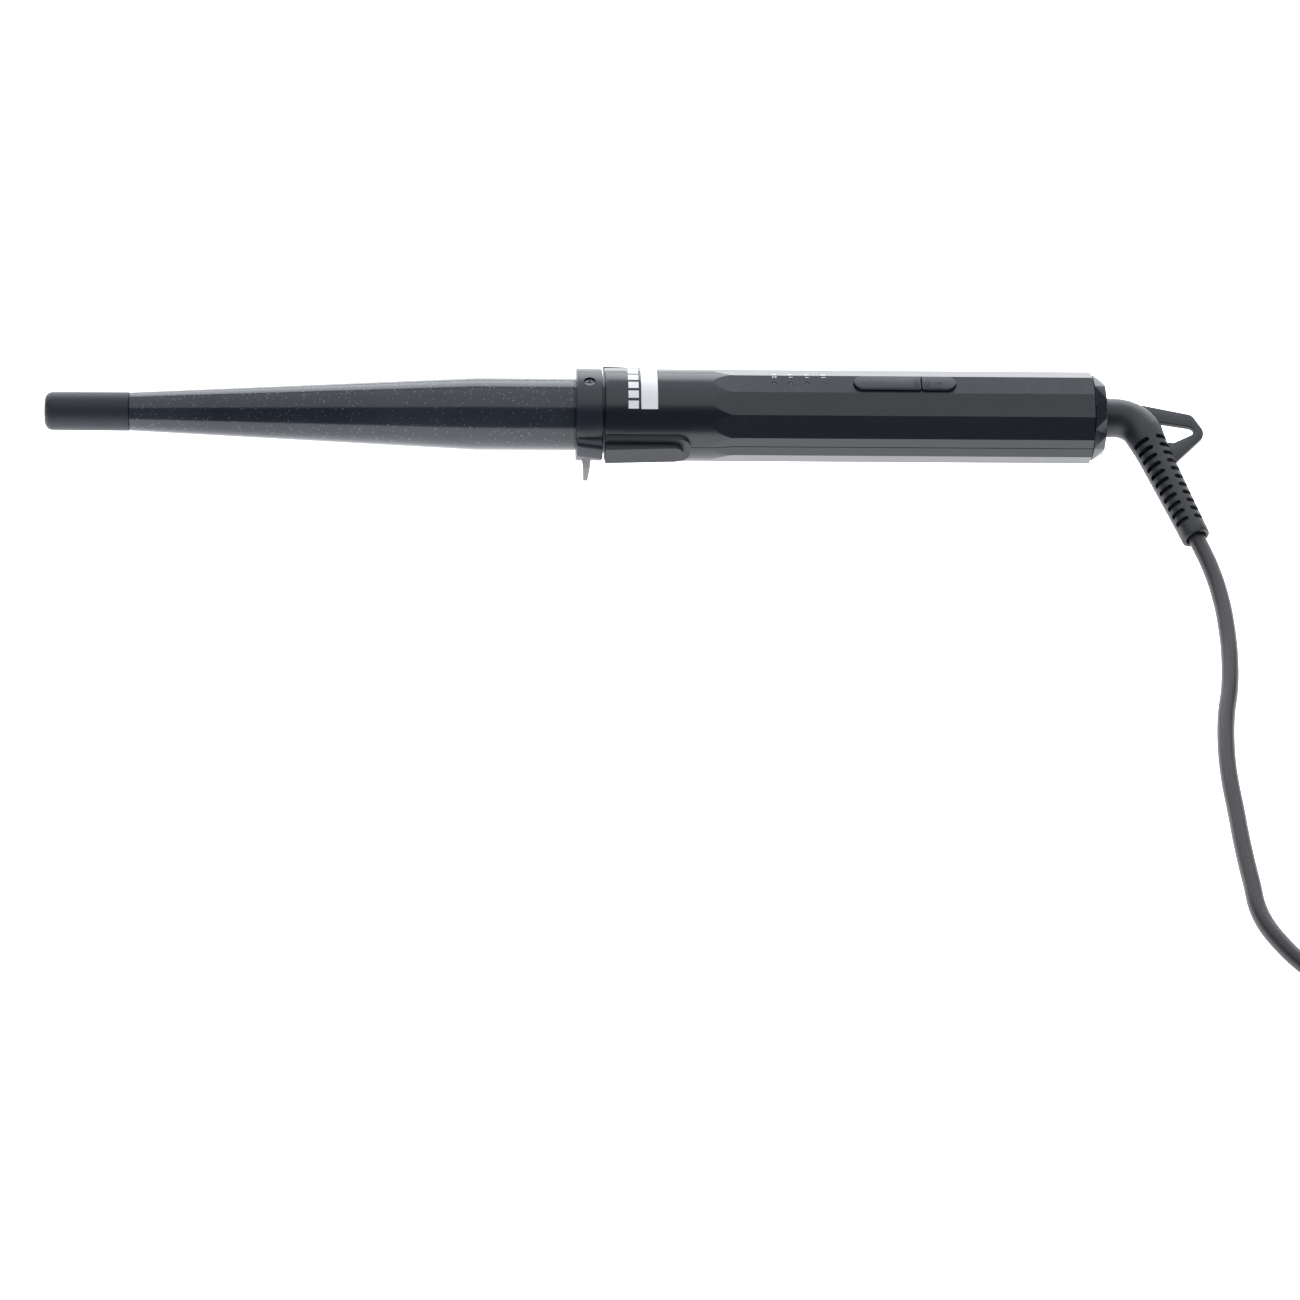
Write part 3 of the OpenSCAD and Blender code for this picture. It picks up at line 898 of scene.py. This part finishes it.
class WAND_OT_collar(Operator):
    """Moulds the collar with its two lugs, screw recesses and slots for the stand"""

    bl_idname = "wand.collar"
    bl_label = "Collar"

    def execute(self, context):
        radius = context.scene.wand_sizes.collar * 500
        ring = turned(
            [
                (-4.45, 12.62),
                (-4.45, radius - 0.45),
                (-4.32, radius - 0.13),
                (-4.0, radius),
                (4.0, radius),
                (4.32, radius - 0.13),
                (4.45, radius - 0.45),
                (4.45, 12.9),
                (24.4, 12.9),
                (24.4, 9.05),
                (4.1, 9.05),
                (4.1, 12.3),
                (-4.2, 12.3),
            ],
            128,
        )
        for lug in mirrored(lambda: side_block(-4.45, 4.45, 3.9, 18.2, 19.7, 2.4, 0.55)):
            ring = combined(ring, lug, "UNION")
        tools = [rod((0, 0, side * 13.85), (0, 0, side * 17), 1.96, 32) for side in (-1, 1)]
        tools += [rod((0, 0, side * 10), (0, 0, side * 14), 1.05, 24) for side in (-1, 1)]
        for side in (-1, 1):
            low, high = sorted((side * 15.85, side * 17.45))
            tools.append(block((-7, low, -12), (0.55, high, 0.4)))
        ring = combined(ring, joined(*tools))
        delivered(ring, "collar_moulding", "wand", "collar_plastic", "collar", sharp=28)
        return {"FINISHED"}


class WAND_OT_stand(Operator):
    """Bends the fold-out stand from one steel strip"""

    bl_idname = "wand.stand"
    bl_label = "Stand"

    def execute(self, context):
        # the strip's outer line, from one pivot round under the wand to the other
        line = [(17.3, 2.3), (17.3, -8), (11.5, -21.5), (-11.5, -21.5), (-17.3, -8), (-17.3, 2.3)]
        mesh = bmesh.new()
        dots = [mesh.verts.new((-1.9, y, z)) for y, z in line]
        edges = [mesh.edges.new(pair) for pair in zip(dots, dots[1:])]
        grown = bmesh.ops.extrude_edge_only(mesh, edges=edges)["geom"]
        bmesh.ops.translate(
            mesh,
            vec=(2.4, 0, 0),
            verts=[g for g in grown if isinstance(g, bmesh.types.BMVert)],
        )
        # the legs taper to the foot, and their ends are round about the pivot
        for vert in mesh.verts:
            rear = vert.co.x > -1
            if vert.co.z > 2:
                vert.co.x = 0.3 if rear else -4.1
            elif vert.co.z > -9:
                vert.co.x = 0.47 if rear else -2.0
            else:
                vert.co.x = -0.15 if rear else -1.55
        bends = [e for e in mesh.edges if abs(way(e).x) > 0.9 and middle(e).z < -5]
        bmesh.ops.bevel(
            mesh,
            geom=bends,
            offset=2.2,
            offset_type="OFFSET",
            affect="EDGES",
            segments=5,
            profile=0.5,
            material=-1,
        )
        tops = [v for v in mesh.verts if v.co.z > 2]
        bmesh.ops.bevel(
            mesh,
            geom=tops,
            offset=1.9,
            offset_type="OFFSET",
            affect="VERTICES",
            segments=5,
            profile=0.5,
            material=-1,
        )
        bmesh.ops.recalc_face_normals(mesh, faces=mesh.faces)
        lowest = min(mesh.faces, key=lambda face: face.calc_center_median().z)
        if lowest.normal.z > 0:
            bmesh.ops.reverse_faces(mesh, faces=mesh.faces)
        bmesh.ops.solidify(mesh, geom=mesh.faces[:], thickness=1.3)
        soften(mesh, 0.18, 2, 60)
        for side in (-1, 1):
            mesh = combined(mesh, rod((-1.9, side * 14, 0), (-1.9, side * 19, 0), 1.06, 24))
        delivered(mesh, "stand_strip", "stand", "stand_steel", "stand", sharp=30)
        return {"FINISHED"}


# ---- handle ----


def faceted(mesh, flat):
    """Runs the round handle out into twelve flats, each starting as a pointed arch."""
    slope = (mesh_radius(mesh) - flat) / (RAMP_END - RAMP_START)
    for k in range(12):
        angle = math.radians(30 * k)
        out = Vector((0, math.cos(angle), math.sin(angle)))
        normal = (out + Vector((slope, 0, 0))).normalized()
        point = Vector((RAMP_END, 0, 0)) + out * flat
        near = [
            face
            for face in mesh.faces
            if face.normal.dot(out) > 0.93
            and RAMP_START - 1 < face.calc_center_median().x < RAMP_END + 0.1
        ]
        parts = {g for face in near for g in (face, *face.edges, *face.verts)}
        bmesh.ops.bisect_plane(
            mesh, geom=list(parts), dist=0.0001, plane_co=point, plane_no=normal
        )
    for vert in mesh.verts:
        across = Vector((0, vert.co.y, vert.co.z))
        if across.length < flat - 1 or vert.co.x < RAMP_START:
            continue
        turn = round(math.atan2(across.z, across.y) / math.radians(30))
        out = Vector((0, math.cos(math.radians(30 * turn)), math.sin(math.radians(30 * turn))))
        limit = flat + max(0.0, RAMP_END - vert.co.x) * slope
        reach = across.dot(out)
        if reach > limit:
            vert.co.y *= limit / reach
            vert.co.z *= limit / reach
    return mesh


def mesh_radius(mesh):
    return max(math.hypot(vert.co.y, vert.co.z) for vert in mesh.verts)


def handle_tube(radius, flat, edge):
    """The whole handle as one tube, before it is parted."""
    stations = [HANDLE_START + 0.45, 20, 36, RAMP_START]
    stations += [RAMP_START + 0.5 * i for i in range(1, 15)] + [RAMP_END, 80, 110, 140]
    tube = turned(
        [(HANDLE_START, 13), (HANDLE_START, radius - 0.45), (HANDLE_START + 0.13, radius - 0.14)]
        + [(x, radius) for x in stations]
        + [(HANDLE_END, radius), (HANDLE_END, 13)],
        96,
    )
    faceted(tube, flat)
    soften(
        tube,
        edge,
        2,
        20,
        lambda e: abs(way(e).x) > 0.95 and middle(e).x > 48.4 and e.calc_length() > 0.1
        and math.hypot(middle(e).y, middle(e).z) > 15,
    )
    return tube


def parted(tube, side):
    """One half of the handle, closed along the parting face, its outer lip eased."""
    bmesh.ops.bisect_plane(
        tube,
        geom=tube.verts[:] + tube.edges[:] + tube.faces[:],
        dist=0.0001,
        plane_co=(0, 0, 0.05 * side),
        plane_no=(0, 0, -side),
        clear_outer=True,
    )
    bmesh.ops.holes_fill(tube, edges=[e for e in tube.edges if e.is_boundary], sides=0)
    bmesh.ops.recalc_face_normals(tube, faces=tube.faces)
    soften(
        tube,
        0.16,
        2,
        60,
        lambda e: abs(middle(e).z) < 0.06 and abs(middle(e).y) > 15 and abs(way(e).x) > 0.9,
    )
    return tube


class WAND_OT_handle(Operator):
    """Moulds the handle's two half shells"""

    bl_idname = "wand.handle"
    bl_label = "Handle"

    def execute(self, context):
        sizes = context.scene.wand_sizes
        radius, flat, edge = sizes.collar * 500, sizes.handle_flats * 500, sizes.edge * 1000
        upper = parted(handle_tube(radius, flat, edge), 1)
        slot = plate(
            [(89.9, -3.2), (125.3, -3.2), (125.3, 3.2), (89.9, 3.2)], 8, [3.19] * 4, 12
        )
        moved(slot, Matrix.Translation((0, 0, 10)))
        tools = [slot] + [
            rod((63 + 5.63 * i, 0, 10), (63 + 5.63 * i, 0, 18), 0.75, 24) for i in range(4)
        ]
        upper = combined(upper, joined(*tools))
        delivered(upper, "handle_shell_upper", "wand", "shell_plastic", "handle_upper", sharp=7)
        lower = parted(handle_tube(radius, flat, edge), -1)
        wells = [rod((x, 0, -20), (x, 0, -12), 2.9, 32) for x in (54, 141)]
        lower = combined(lower, joined(*wells))
        bosses = [
            moved(
                turned([(0.1, 1.6), (0.1, 3.6), (13.4, 3.6), (13.4, 2.92), (9, 2.92), (9, 1.6)], 32),
                Matrix.Translation((x, 0, 0)) @ Matrix.Rotation(math.pi / 2, 4, "Y"),
            )
            for x in (54, 141)
        ]
        lower = joined(lower, *bosses)
        delivered(lower, "handle_shell_lower", "wand", "shell_plastic", "handle_lower", sharp=7)
        return {"FINISHED"}


class WAND_OT_pads(Operator):
    """Moulds the two rubber pads beside the handle's round front"""

    bl_idname = "wand.pads"
    bl_label = "Grip pads"

    def execute(self, context):
        def pad():
            flange = plate(
                [(5.3, -5.1), (34.4, -5.1), (34.4, 5.1), (5.3, 5.1)],
                3.2,
                [0.01, 3.9, 3.9, 0.01],
                8,
            )
            moved(flange, Matrix(((1, 0, 0, 0), (0, 0, 1, 14), (0, -1, 0, 0), (0, 0, 0, 1))))
            bmesh.ops.recalc_face_normals(flange, faces=flange.faces)
            soften(flange, 1.3, 6, 60, lambda e: middle(e).y > 16 and middle(e).x > 5.4)
            soften(flange, 0.3, 2, 60, lambda e: middle(e).y > 14.5)
            raised = plate(
                [(5.3, -3.2), (32.0, -3.2), (32.0, 3.2), (5.3, 3.2)],
                6.4,
                [0.01, 3.1, 3.1, 0.01],
                8,
            )
            moved(raised, Matrix(((1, 0, 0, 0), (0, 0, 1, 14.05), (0, -1, 0, 0), (0, 0, 0, 1))))
            for vert in raised.verts:
                if vert.co.y > 18:
                    vert.co.y -= (vert.co.x - 5.3) * 0.0375
            bmesh.ops.recalc_face_normals(raised, faces=raised.faces)
            soften(raised, 2.1, 7, 50, lambda e: middle(e).y > 18 and middle(e).x > 5.4)
            soften(raised, 0.35, 2, 60, lambda e: middle(e).y > 16)
            whole = combined(flange, raised, "UNION")
            return combined(whole, rod((0, 0, 0), (50, 0, 0), 15.88, 128))

        far, near = mirrored(pad)
        delivered(far, "pad_far", "wand", "pad_rubber", "grip_pad_far", sharp=32)
        delivered(near, "pad_near", "wand", "pad_rubber", "grip_pad_near", sharp=32)
        return {"FINISHED"}


# ---- controls and marks ----


class WAND_OT_keys(Operator):
    """Moulds the power key and the heat key with their grip ribs and marks"""

    bl_idname = "wand.keys"
    bl_label = "Keys"

    def execute(self, context):
        for name, body, x0, x1, rounds in (
            ("key_power", "power_key", 90.2, 113.05, [2.89, 0.25, 0.25, 2.89]),
            ("key_heat", "heat_key", 113.45, 125.0, [0.25, 2.89, 2.89, 0.25]),
        ):
            key = plate([(x0, -2.9), (x1, -2.9), (x1, 2.9), (x0, 2.9)], 4.2, rounds, 10)
            moved(key, Matrix.Translation((0, 0, 12.1)))
            soften(key, 0.4, 4, 60, lambda e: middle(e).z > 16.2)
            ledge = block((max(x0 - 1, 89.2), -4.6, 12.1), (min(x1 + 1, 126.0), 4.6, 13.1))
            sign = -1 if body == "power_key" else 1
            start = KEY_SPLIT + sign * 1.0
            ribs = [
                soften(
                    block(
                        (start + sign * 0.75 * i - 0.17, -2.2, 16.0),
                        (start + sign * 0.75 * i + 0.17, 2.2, 16.48),
                    ),
                    0.1,
                    2,
                )
                for i in range(3)
            ]
            if body == "power_key":
                marks = [soften(block((93.6, -0.9, 16.0), (93.95, 0.9, 16.42)), 0.05, 2)]
            else:
                marks = [
                    soften(block((118.4, -0.17, 16.0), (120.2, 0.17, 16.42)), 0.05, 2),
                    soften(block((119.13, -0.9, 16.0), (119.47, 0.9, 16.42)), 0.05, 2),
                ]
            key = joined(key, ledge, *ribs, *marks)
            delivered(key, name, body, "key_plastic", body, sharp=30)
        return {"FINISHED"}


def digits(text, width, place):
    """Small flat figures, as a mesh a hundredth of a millimetre thick."""
    data = bpy.data.curves.new("figures", "FONT")
    data.body, data.size, data.align_x = text, width, "LEFT"
    data.extrude, data.offset = 0.008, 0.02
    shape = bpy.data.objects.new("figures", data)
    bpy.context.scene.collection.objects.link(shape)
    flat = bpy.data.meshes.new_from_object(
        shape.evaluated_get(bpy.context.evaluated_depsgraph_get())
    )
    mesh = bmesh.new()
    mesh.from_mesh(flat)
    bmesh.ops.remove_doubles(mesh, verts=mesh.verts, dist=0.0001)
    bpy.data.objects.remove(shape)
    bpy.data.curves.remove(data)
    bpy.data.meshes.remove(flat)
    return moved(mesh, place)


class WAND_OT_marks(Operator):
    """Prints the plain panel on the round front and the heat figures by the lamps"""

    bl_idname = "wand.marks"
    bl_label = "Printed marks"

    def execute(self, context):
        radius = context.scene.wand_sizes.collar * 500
        flat = context.scene.wand_sizes.handle_flats * 500
        patches = []
        # a plain panel and a row of short bars, wrapped round the handle's top
        bars = [(17.45, 23.1, 51.5, 132.3)]
        bars += [(13.1, 16.6, 52 + 13.7 * i, 62 + 13.7 * i) for i in range(6)]
        for x0, x1, low, high in bars:
            mesh = bmesh.new()
            start = math.radians(low)
            ends = [
                mesh.verts.new(
                    (x, -(radius + 0.02) * math.cos(start), (radius + 0.02) * math.sin(start))
                )
                for x in (x0, x1)
            ]
            edge = mesh.edges.new(ends)
            bmesh.ops.spin(
                mesh,
                geom=ends + [edge],
                cent=(0, 0, 0),
                axis=(1, 0, 0),
                angle=-math.radians(high - low),
                steps=max(3, round((high - low) / 2.5)),
            )
            bmesh.ops.recalc_face_normals(mesh, faces=mesh.faces)
            face = mesh.faces[:][0]
            if face.normal.dot(face.calc_center_median() - Vector((x0, 0, 0))) < 0:
                bmesh.ops.reverse_faces(mesh, faces=mesh.faces)
            bmesh.ops.solidify(mesh, geom=mesh.faces[:], thickness=0.015)
            patches.append(mesh)
        edge_y = flat * math.tan(math.radians(15))
        for i, figures in enumerate(("200", "190", "170", "150")):
            x = 63 + 5.63 * i + 0.75
            top = Matrix.Translation((x, 2.75, flat + 0.012)) @ Matrix.Rotation(
                math.pi / 2, 4, "Z"
            )
            patches.append(digits(figures[0], 2.05, top))
            slant = (
                Matrix.Rotation(math.radians(-30), 4, "X")
                @ Matrix.Translation((x, 0.1 - edge_y, flat + 0.012))
                @ Matrix.Rotation(math.pi / 2, 4, "Z")
            )
            patches.append(digits(figures[1:], 2.05, slant))
        marks = joined(*patches)
        delivered(marks, "printed_marks", "wand", "shell_plastic", look="print")
        return {"FINISHED"}


class WAND_OT_lamps(Operator):
    """Sets the four domed lamp lenses in the handle's top"""

    bl_idname = "wand.lamps"
    bl_label = "Lamps"

    def execute(self, context):
        lamps = []
        for i in range(4):
            lens_shape = turned(
                [(-9.0, 0), (-9.0, 0.7), (-14.9, 0.7), (-15.02, 0.5), (-15.05, 0.25), (-15.06, 0)],
                32,
                False,
            )
            moved(
                lens_shape,
                Matrix.Translation((63 + 5.63 * i, 0, 0)) @ Matrix.Rotation(math.pi / 2, 4, "Y"),
            )
            foot = block((61.5 + 5.63 * i, -1, 8.0), (64.5 + 5.63 * i, 1, 9.1))
            lamps += [lens_shape, foot]
        delivered(joined(*lamps), "lamp_lenses", "wand", "lamp_lens", "indicator_lamps")
        return {"FINISHED"}


# ---- cap, guard and loop ----


class WAND_OT_cap(Operator):
    """Cuts the handle's faceted end cap"""

    bl_idname = "wand.cap"
    bl_label = "End cap"

    def execute(self, context):
        gem = bmesh.new()
        for x, radius, turn in ((172.9, 15.15, 0.0), (177.1, 12.5, 15.0)):
            bmesh.ops.create_circle(
                gem,
                segments=12,
                radius=radius,
                matrix=Matrix.Translation((x, 0, 0))
                @ Matrix.Rotation(math.radians(turn), 4, "X")
                @ Matrix.Rotation(math.pi / 2, 4, "Z")
                @ Matrix.Rotation(math.pi / 2, 4, "X"),
            )
        bmesh.ops.convex_hull(gem, input=gem.verts[:])
        bmesh.ops.dissolve_limit(
            gem, angle_limit=math.radians(1), verts=gem.verts[:], edges=gem.edges[:]
        )
        bmesh.ops.recalc_face_normals(gem, faces=gem.faces)
        soften(gem, 0.12, 2, 12)
        plug = turned(
            [(163.5, 12.85), (173.2, 12.85), (173.2, 6.83), (172.1, 6.83), (172.1, 8.9)]
            + [(163.5, 8.9)],
            96,
        )
        gem = combined(gem, rod((160, 0, 0), (180, 0, 0), 6.84, 64))
        delivered(joined(gem, plug), "cap_moulding", "wand", "cap_plastic", "end_cap", sharp=9)
        return {"FINISHED"}


def grown(mesh, edges, matrix):
    """Extrudes a ring of edges and moves the new ring."""
    made = bmesh.ops.extrude_edge_only(mesh, edges=edges)["geom"]
    bmesh.ops.transform(
        mesh, matrix=matrix, verts=[g for g in made if isinstance(g, bmesh.types.BMVert)]
    )
    return [g for g in made if isinstance(g, bmesh.types.BMEdge)]


def guard_body():
    """The swept elbow and sleeve, with the recess that the cord comes out of."""
    mesh = bmesh.new()
    bmesh.ops.create_circle(
        mesh,
        cap_ends=True,
        segments=64,
        radius=6.75,
        matrix=Matrix.Translation((169.6, 0, 0)) @ Matrix.Rotation(math.pi / 2, 4, "Y"),
    )
    ring = mesh.edges[:]
    neck_end = BEND_X - BEND_REACH
    for x, radius in ((174.0, 6.75), (179.0, 6.74), (neck_end, 6.66)):
        here = Vector((169.6, 0, 0))
        for vert in ring[0].verts:
            here = Vector((vert.co.x, 0, 0))
        old = max(math.hypot(v.co.y, v.co.z) for e in ring for v in e.verts)
        ring = grown(
            mesh,
            ring,
            Matrix.Translation((x, 0, 0))
            @ Matrix.Scale(radius / old, 4)
            @ Matrix.Translation(-here),
        )
    spun = bmesh.ops.spin(
        mesh,
        geom=ring + list({v for e in ring for v in e.verts}),
        cent=(neck_end, BEND_R, 0),
        axis=(0, 0, 1),
        angle=math.radians(BEND),
        steps=24,
    )["geom_last"]
    ring = [g for g in spun if isinstance(g, bmesh.types.BMEdge)]
    # along the sleeve: how far from the bend's corner, and how thick
    sleeve = [
        (9.9, 6.42),
        (13, 6.12),
        (16.6, 5.87),
        (23.9, 5.62),
        (31.2, 5.41),
        (38.5, 5.2),
        (45.8, 5.04),
        (50, 4.96),
        (52.2, 4.92),
        (52.75, 4.78),
        (53, 4.5),
        (53, 3.9),
        (52.8, 3.6),
        (52.3, 3.45),
        (49, 3.3),
    ]
    was, old = BEND_REACH, 6.66
    for along, radius in sleeve:
        ring = grown(
            mesh,
            ring,
            GUARD_WAY
            @ Matrix.Translation((along, 0, 0))
            @ Matrix.Scale(radius / old, 4)
            @ Matrix.Translation((-was, 0, 0))
            @ GUARD_WAY.inverted(),
        )
        was, old = along, radius
    bmesh.ops.edgeloop_fill(mesh, edges=ring)
    bmesh.ops.recalc_face_normals(mesh, faces=mesh.faces)
    return mesh


def guard_slots(rows):
    """Round-ended slots in four rows, which let the sleeve bend with the cord."""
    slots = []
    pitch = 34 / (rows - 1)
    for i in range(rows):
        along = 13 + pitch * i
        outer = 6.12 - (along - 13) * 0.032
        half = 0.54 * outer
        for quarter in range(4):
            slot = block((-0.85, -half, 3.45), (0.85, half, 8))
            soften(slot, 0.8, 5, 60, lambda e: abs(way(e).z) > 0.9)
            slots.append(
                moved(
                    slot,
                    GUARD_WAY
                    @ Matrix.Translation((along, 0, 0))
                    @ Matrix.Rotation(math.radians(45 + 90 * quarter), 4, "X"),
                )
            )
    return joined(*slots)


class WAND_OT_guard(Operator):
    """Moulds the bent cord guard and its slots"""

    bl_idname = "wand.guard"
    bl_label = "Cord guard"

    def execute(self, context):
        guard = combined(guard_body(), guard_slots(context.scene.wand_sizes.guard_rows))
        flange = turned([(169.4, 5), (169.4, 8.4), (171.6, 8.4), (171.6, 5)], 64)
        guard = moved(joined(guard, flange), BEND_PLANE)
        delivered(guard, "guard_moulding", "swivel", "guard_rubber", "cord_guard", sharp=26)
        return {"FINISHED"}


def hulled(rounds, thick):
    """The stretched skin round several discs, as a flat bar of this thickness."""
    mesh = bmesh.new()
    for x, y, radius in rounds:
        for z in (-thick / 2, thick / 2):
            bmesh.ops.create_circle(
                mesh, segments=40, radius=radius, matrix=Matrix.Translation((x, y, z))
            )
    result = bmesh.ops.convex_hull(mesh, input=mesh.verts[:])
    spare = {g for g in result["geom_interior"] if isinstance(g, bmesh.types.BMVert)}
    bmesh.ops.delete(mesh, geom=list(spare), context="VERTS")
    loose = [e for e in mesh.edges if not e.link_faces]
    bmesh.ops.delete(mesh, geom=loose, context="EDGES")
    bmesh.ops.dissolve_limit(
        mesh, angle_limit=math.radians(0.5), verts=mesh.verts[:], edges=mesh.edges[:]
    )
    bmesh.ops.recalc_face_normals(mesh, faces=mesh.faces)
    return mesh


class WAND_OT_loop(Operator):
    """Moulds the flat hanging loop behind the bend"""

    bl_idname = "wand.loop"
    bl_label = "Hanging loop"

    def execute(self, context):
        outside = hulled(
            [(191, -2.3, 2.6), (206, 1.7, 3), (207.3, 6.5, 4.1), (199.5, 17.3, 2.2), (194, 14.9, 1)], 2
        )
        eye = hulled(
            [(195.6, 2.8, 0.6), (206, 6, 1.9), (200.6, 10.1, 0.8), (196, 9.6, 0.8)], 4
        )
        bar = combined(outside, eye)
        soften(bar, 0.42, 3, 60)
        delivered(
            moved(bar, BEND_PLANE), "loop_moulding", "swivel", "guard_rubber", "hanging_loop",
            sharp=24,
        )
        return {"FINISHED"}


# ---- inner parts ----


class WAND_OT_inside(Operator):
    """Gives the screws, the heater and the other inner parts their finishes"""

    bl_idname = "wand.inside"
    bl_label = "Inner parts"

    def execute(self, context):
        looks = {
            "heater_core": "ceramic",
            "heater_winding": "resistance_wire",
            "mica_sleeve": "mica",
            "core_rod": "steel",
            "core_nut": "steel",
            "thermistor": "bead_glass",
            "thermal_fuse": "steel",
            "heater_wires": "wire_insulation",
            "collar_screws": "screw_steel",
            "stand_pins": "steel",
            "handle_screws": "steel",
            "circuit_board": "board",
            "board_parts": "part_plastic",
            "tact_switches": "part_plastic",
            "mains_wires": "wire_insulation",
            "slip_base": "bearing_plastic",
            "slip_brushes": "brass",
            "swivel_core": "bearing_plastic",
            "slip_rings": "brass",
        }
        for node, look in looks.items():
            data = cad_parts[node].data
            if not data.materials:
                data.materials.append(finish_named(look))
            for i in range(len(data.materials)):
                data.materials[i] = finish_named(look)
        return {"FINISHED"}


# ---- stage ----


def softbox(name, size, power, place, aim, tint):
    data = bpy.data.lights.new(name, "AREA")
    data.shape = "RECTANGLE"
    data.size, data.size_y = size
    data.energy, data.color = power, tint
    lamp = bpy.data.objects.new(name, data)
    bpy.context.scene.collection.objects.link(lamp)
    place = Vector(place)
    lamp.matrix_world = Matrix.Translation(place) @ (Vector(aim) - place).to_track_quat(
        "-Z", "Y"
    ).to_matrix().to_4x4()
    lamp.visible_camera = False
    return lamp


class WAND_OT_stage(Operator):
    """Lays the pale floor and hangs the soft studio lights"""

    bl_idname = "wand.stage"
    bl_label = "Stage"

    def execute(self, context):
        lights = context.scene.wand_lights
        mesh = bmesh.new()
        bmesh.ops.create_grid(mesh, x_segments=2, y_segments=2, size=9)
        data = bpy.data.meshes.new("floor")
        mesh.to_mesh(data)
        mesh.free()

        def paper(place):
            fibres = grain(place, 3.0, 4.0, 0.6)
            return {
                "Base Color": tone(fibres, (0.86, 0.87, 0.88), (0.9, 0.905, 0.91)),
                "Roughness": 0.82 + fibres * 0.1,
                "Emission Color": tone(fibres, (0.97, 0.985, 1.0), (1.0, 1.0, 1.0)),
            }

        data.materials.append(
            finish("floor_paper", paper, Specular_IOR_Level=0.2, Emission_Strength=lights.floor)
        )
        floor = bpy.data.objects.new("floor", data)
        context.scene.collection.objects.link(floor)
        cool = (0.93, 0.965, 1.0)
        softbox("overhead", (3.2, 2.4), lights.overhead, (0, 0.45, 1.7), (0, 0.45, 0), cool)
        softbox("behind", (3.6, 1.2), lights.behind, (0, 1.8, 0.75), (0, 0, 0.02), cool)
        world = bpy.data.worlds.new("studio")
        world.use_nodes = True
        tree = world.node_tree
        seen = Wire(tree, tree.nodes.new("ShaderNodeLightPath").outputs["Is Camera Ray"])
        level = lights.fill + seen * (1.0 - lights.fill)
        sky = tree.nodes["Background"]
        sky.inputs["Color"].default_value = (0.94, 0.97, 1.0, 1)
        tree.links.new(level.socket, sky.inputs["Strength"])
        context.scene.world = world
        context.scene.view_settings.view_transform = "Standard"
        return {"FINISHED"}


# ---- the add-on ----


class WAND_PT_panel(Panel):
    """Lists the wand's pieces"""

    bl_idname = "WAND_PT_panel"
    bl_label = "Curling wand"
    bl_space_type = "VIEW_3D"
    bl_region_type = "UI"
    bl_category = "Curling wand"

    def draw(self, context):
        for step in STEPS:
            self.layout.operator(step.bl_idname)
        for settings in (
            context.scene.wand_sizes,
            context.scene.wand_colours,
            context.scene.wand_lights,
        ):
            box = self.layout.box()
            for name in type(settings).__annotations__:
                box.prop(settings, name)


STEPS = (
    WAND_OT_camera,
    WAND_OT_cord,
    WAND_OT_barrel,
    WAND_OT_collar,
    WAND_OT_stand,
    WAND_OT_handle,
    WAND_OT_pads,
    WAND_OT_keys,
    WAND_OT_marks,
    WAND_OT_lamps,
    WAND_OT_cap,
    WAND_OT_guard,
    WAND_OT_loop,
    WAND_OT_inside,
    WAND_OT_stage,
)
CLASSES = (WandSizes, WandColours, StageLights, *STEPS, WAND_PT_panel)


def register():
    for made in CLASSES:
        bpy.utils.register_class(made)
    bpy.types.Scene.wand_sizes = PointerProperty(type=WandSizes)
    bpy.types.Scene.wand_colours = PointerProperty(type=WandColours)
    bpy.types.Scene.wand_lights = PointerProperty(type=StageLights)


def unregister():
    del bpy.types.Scene.wand_sizes
    del bpy.types.Scene.wand_colours
    del bpy.types.Scene.wand_lights
    for made in reversed(CLASSES):
        bpy.utils.unregister_class(made)


def main():
    register()
    make_finishes(bpy.context.scene.wand_colours)
    for step in STEPS:
        group, name = step.bl_idname.split(".")
        getattr(getattr(bpy.ops, group), name)()


if __name__ == "__main__":
    main()
